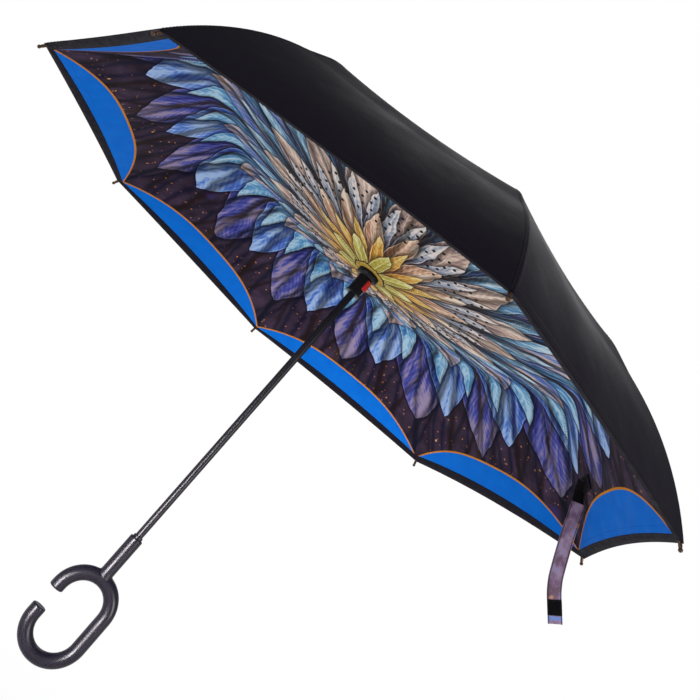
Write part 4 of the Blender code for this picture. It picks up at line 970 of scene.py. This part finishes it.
def strap_stations(steps=96):
    """Middle points, width directions and facings of the ribbon, evenly spaced, and its length."""
    knots = np.hstack([STRAP_LINE, [ALONG_CLOTH.lerp(FACING_OUT, share).normalized() for share in TURNED_BY]])
    near = np.vstack([knots[:1], knots, knots[-1:]])
    t = np.linspace(0, 1, 24, endpoint=False)[:, None]
    shares = (-0.5 * t + t * t - 0.5 * t ** 3, 1 - 2.5 * t * t + 1.5 * t ** 3,
              0.5 * t + 2 * t * t - 1.5 * t ** 3, -0.5 * t * t + 0.5 * t ** 3)
    dense = [sum(share * near[i + n] for n, share in enumerate(shares)) for i in range(len(knots) - 1)]
    dense = np.vstack(dense + [knots[-1:]])
    run = np.concatenate([[0], np.cumsum(np.linalg.norm(np.diff(dense[:, :3], axis=0), axis=1))])
    even = np.linspace(0, run[-1], steps + 1)
    rows = np.stack([np.interp(even, run, dense[:, c]) for c in range(6)], axis=1)
    stations = []
    for i, row in enumerate(rows):
        ahead = Vector(rows[min(i + 1, steps)][:3]) - Vector(rows[max(i - 1, 0)][:3])
        side = Vector(row[3:])
        side = (side - ahead * side.dot(ahead) / ahead.length_squared).normalized()
        stations.append((Vector(row[:3]), side, side.cross(ahead).normalized()))
    return stations, float(run[-1])


def band(name, stations, half, pitch, finish):
    """A flat closed band through the stations, with half of its upper side given, and a map in metres."""
    upper = half + [(-x, h) for x, h in half[-2::-1]]
    loop = upper + [(x, -h) for x, h in upper[::-1]]
    mesh = skinned(name, [[point + side * x + face * h for x, h in loop] for point, side, face in stations])
    add_maps(mesh, Flat=[(x, pitch * i) for i in range(len(stations)) for x, _ in loop])
    return new_piece(name, mesh, finish, 50)


def pad(inner):
    """The black pad sewn flat on the inner canopy, under the strap's root, and its border of stitches."""
    low, high = PAD_ACROSS
    s, w = np.meshgrid(PAD_AT + PAD_HALF * np.linspace(-1, 1, 15), np.linspace(low, high, 23), indexing="ij")
    swell = 1 - np.maximum(np.abs((s - PAD_AT) / PAD_HALF), np.abs(2 * (w - low) / (high - low) - 1)) ** 8
    grid = on_cloth(inner, s, w) - cloth_normal(inner, s, w) * (0.0010 + 0.0006 * swell)[..., None]
    piece = walled("strap_pad", grid, 0.0013, Matrix.Identity(4), HOOKS, 50)
    first, last, inset_s, lift = low + 0.02, high - 0.02, PAD_HALF - 0.0018, -0.0021
    rows = []
    for end, w in ((-1, first), (1, last)):
        rows += [on_cloth(inner, np.full(20, PAD_AT + end * inset_s), np.linspace(first, last, 20), lift),
                 on_cloth(inner, np.linspace(PAD_AT - inset_s, PAD_AT + inset_s, 12), np.full(12, w), lift)]
    return piece, sewn("pad_stitches", rows, Matrix.Identity(4), BLACK_THREAD, Pitch=0.0027, Length=0.0019)


def hook_patch(stations, pitch):
    """The fastening patch near the free end, on the side away from the camera, with its stitches."""
    middle = len(stations) - 1 - round(PATCH_FROM_END / pitch)
    point, across, face = stations[middle]
    ahead = (stations[middle + 2][0] - stations[middle - 2][0]).normalized()
    side = -1 if face.y > 0 else 1
    place = Matrix((ahead, across, face)).transposed().to_4x4()
    place.translation = point + face * side * (STRAP_THICKNESS / 2 + 0.0003 + PATCH_THICKNESS / 2)
    bar = rounded_bar("hook_patch", (PATCH_LENGTH, STRAP_WIDTH, PATCH_THICKNESS), place, 0.0005, 2)
    x, y, top = PATCH_LENGTH / 2 - 0.0016, STRAP_WIDTH / 2 - 0.0016, side * (PATCH_THICKNESS / 2 + 0.00005)
    rows = [[(t, y * sign, top) for t in np.linspace(-x, x, 15)] for sign in (1, -1)]
    rows += [[(x * sign, t, top) for t in np.linspace(-y, y, 15)] for sign in (1, -1)]
    return (new_piece("hook_patch", bar, HOOKS, 40),
            sewn("patch_stitches", rows, place, BLACK_THREAD, Pitch=0.0024, Length=0.0017))


def strap(inner):
    """The printed closing ribbon with its edge stitches, its black root, its sewn pad and its hook patch."""
    stations, length = strap_stations()
    pitch = length / (len(stations) - 1)
    ribbon = band("strap_ribbon", stations, RIBBON_HALF, pitch, RIBBON)
    first, row, over = round(TAB_LENGTH / pitch), 0.0087, 0.0006
    lines = [[point + side * x + face * h for point, side, face in stations[first:]]
             for h in (over, -over) for x in (-row, row)]
    stitches = sewn("strap_stitches", lines, Matrix.Identity(4), PLUM_THREAD,
                    Pitch=0.0026, Length=0.0017, Thickness=0.00042)
    tab = band("strap_root", stations[:first + 1], TAB_HALF, pitch, HOOKS)
    patch, patch_stitches = hook_patch(stations, pitch)
    base, base_stitches = pad(inner)
    s, w = np.meshgrid(np.linspace(inner.knee_at, inner.length, 30), np.linspace(-1, 0, 13))
    fold = folding(Vector(on_cloth(inner, s, w).mean(axis=(0, 1))), rod_bar(inner))
    for piece, nodes in ((ribbon, ["strap"]), (tab, []), (stitches, []), (patch, ["strap_patch"]),
                         (patch_stitches, []), (base, ["strap_anchor"]), (base_stitches, [])):
        carried(piece, "rod", 0, "printed_cloth" if piece is ribbon else "outer_cloth", fold, RIM_KEEP, *nodes)


# Studio

def repaint(finish, *nodes):
    """Gives nodes that are shown as they are their finish."""
    for node in nodes:
        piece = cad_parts[node]
        for spot in piece.material_slots:
            spot.material = finish
        if not piece.material_slots:
            piece.data.materials.append(finish)


def floor():
    """A pale floor, which rays that see it find nearly white."""
    work = bmesh.new()
    bmesh.ops.create_grid(work, x_segments=1, y_segments=1, size=30.0)
    bmesh.ops.translate(work, vec=(0, 0, -0.42), verts=work.verts)
    f = Finish("pale floor")
    ray = f.node("LightPath").outputs
    seen = f.math("MAXIMUM", f.math("MAXIMUM", ray["Is Camera Ray"], ray["Is Glossy Ray"]),
                  ray["Is Transmission Ray"])
    white = f.made("Emission", {"Color": (1, 1, 1, 1), "Strength": 1.0})
    grey = f.made("BsdfDiffuse", {"Color": (0.86, 0.86, 0.86, 1)})
    away = f.vector_math("LENGTH", {0: f.place()}, "Value")
    pale = f.times(seen, f.smooth(away, 0.3, 1.6, 0.72, 1.0))
    blend = f.made("MixShader", {0: pale, 1: grey, 2: white})
    f.feed(f.tree.nodes["Material Output"].inputs["Surface"], blend)
    new_piece("floor", mesh_from("floor", work), f.material)


def backdrop():
    """White where the camera looks, and a soft cool light elsewhere."""
    world = bpy.data.worlds.new("studio")
    bpy.context.scene.world = world
    world.use_nodes = True
    t = Nodes(world.node_tree)
    t.tree.nodes.clear()
    ray = t.node("LightPath").outputs
    seen = t.math("MAXIMUM", ray["Is Camera Ray"], ray["Is Transmission Ray"])
    soft, white = (t.made("Background", {"Color": tone, "Strength": strength})
                   for tone, strength in (((0.93, 0.96, 1.0, 1), 0.55), ((1, 1, 1, 1), 1.0)))
    t.node("OutputWorld", {"Surface": t.made("MixShader", {0: seen, 1: soft, 2: white})})


def lamps():
    for name, spot, target, size, power, tone, spread in (
            ("key", (2.3, -2.3, 0.5), (0, 0, 0.45), 1.2, 66, (1.0, 0.985, 0.96), 180),
            ("fill", (-2.2, -1.8, 0.0), (0, 0, 0.4), 1.4, 18, (0.96, 0.98, 1.0), 180),
            ("front", (-0.66, -1.09, -0.10), (0, 0, 0.0), 0.62, 3.6, (1.0, 0.95, 0.99), 28),
            ("back", (0.6, 1.6, 2.4), (0, 0, 0.6), 1.8, 34, (1, 1, 1), 180)):
        light = bpy.data.lights.new(name, "AREA")
        light.shape, light.size, light.energy, light.color = "DISK", size, power, tone
        light.spread = math.radians(spread)
        lamp = new_piece(name, light)
        lamp.location = spot
        lamp.rotation_euler = (Vector(target) - Vector(spot)).to_track_quat("-Z", "Y").to_euler()


def camera():
    """The photograph's view: its place, its direction and its roll about that direction."""
    lens = bpy.data.cameras.new("camera")
    lens.sensor_width = 36
    lens.lens = FOCAL_LENGTH / PICTURE * lens.sensor_width
    lens.shift_x, lens.shift_y = AXIS[0] / PICTURE, AXIS[1] / PICTURE
    lens.clip_start, lens.clip_end = 0.01, 100
    eye = new_piece("camera", lens)
    ahead = CAMERA_AHEAD.normalized()
    down = (CAMERA_DOWN - ahead * CAMERA_DOWN.dot(ahead)).normalized()
    turn = Matrix((down.cross(ahead), -down, -ahead)).transposed().to_4x4()
    eye.matrix_world = Matrix.Translation(CAMERA_AT) @ turn
    bpy.context.scene.camera = eye


hand_loop()
turned_fittings()
button()
rod_tips()
lines = cloth_line(OUTER), cloth_line(INNER)
canopies(*lines)
hem_bands(*lines)
seam_stitches(*lines)
air_holes(lines[1])
strap(at_rib(lines[1], 0))
repaint(STEEL, *(f"{part}_{k + 1}" for part in ("rib", "strut") for k in range(RIBS)))
repaint(FIBRE, *(f"rib_rod_{k + 1}" for k in range(RIBS)))
repaint(HUB_PLASTIC, "crown", "runner")
repaint(BRIGHT, "crown_rivet", "crown_pin_ring", "upper_stop", "runner_pin_ring", "latch_plate",
        "button_spring")

floor()
backdrop()
lamps()
camera()
bpy.context.scene.view_settings.view_transform = "Standard"
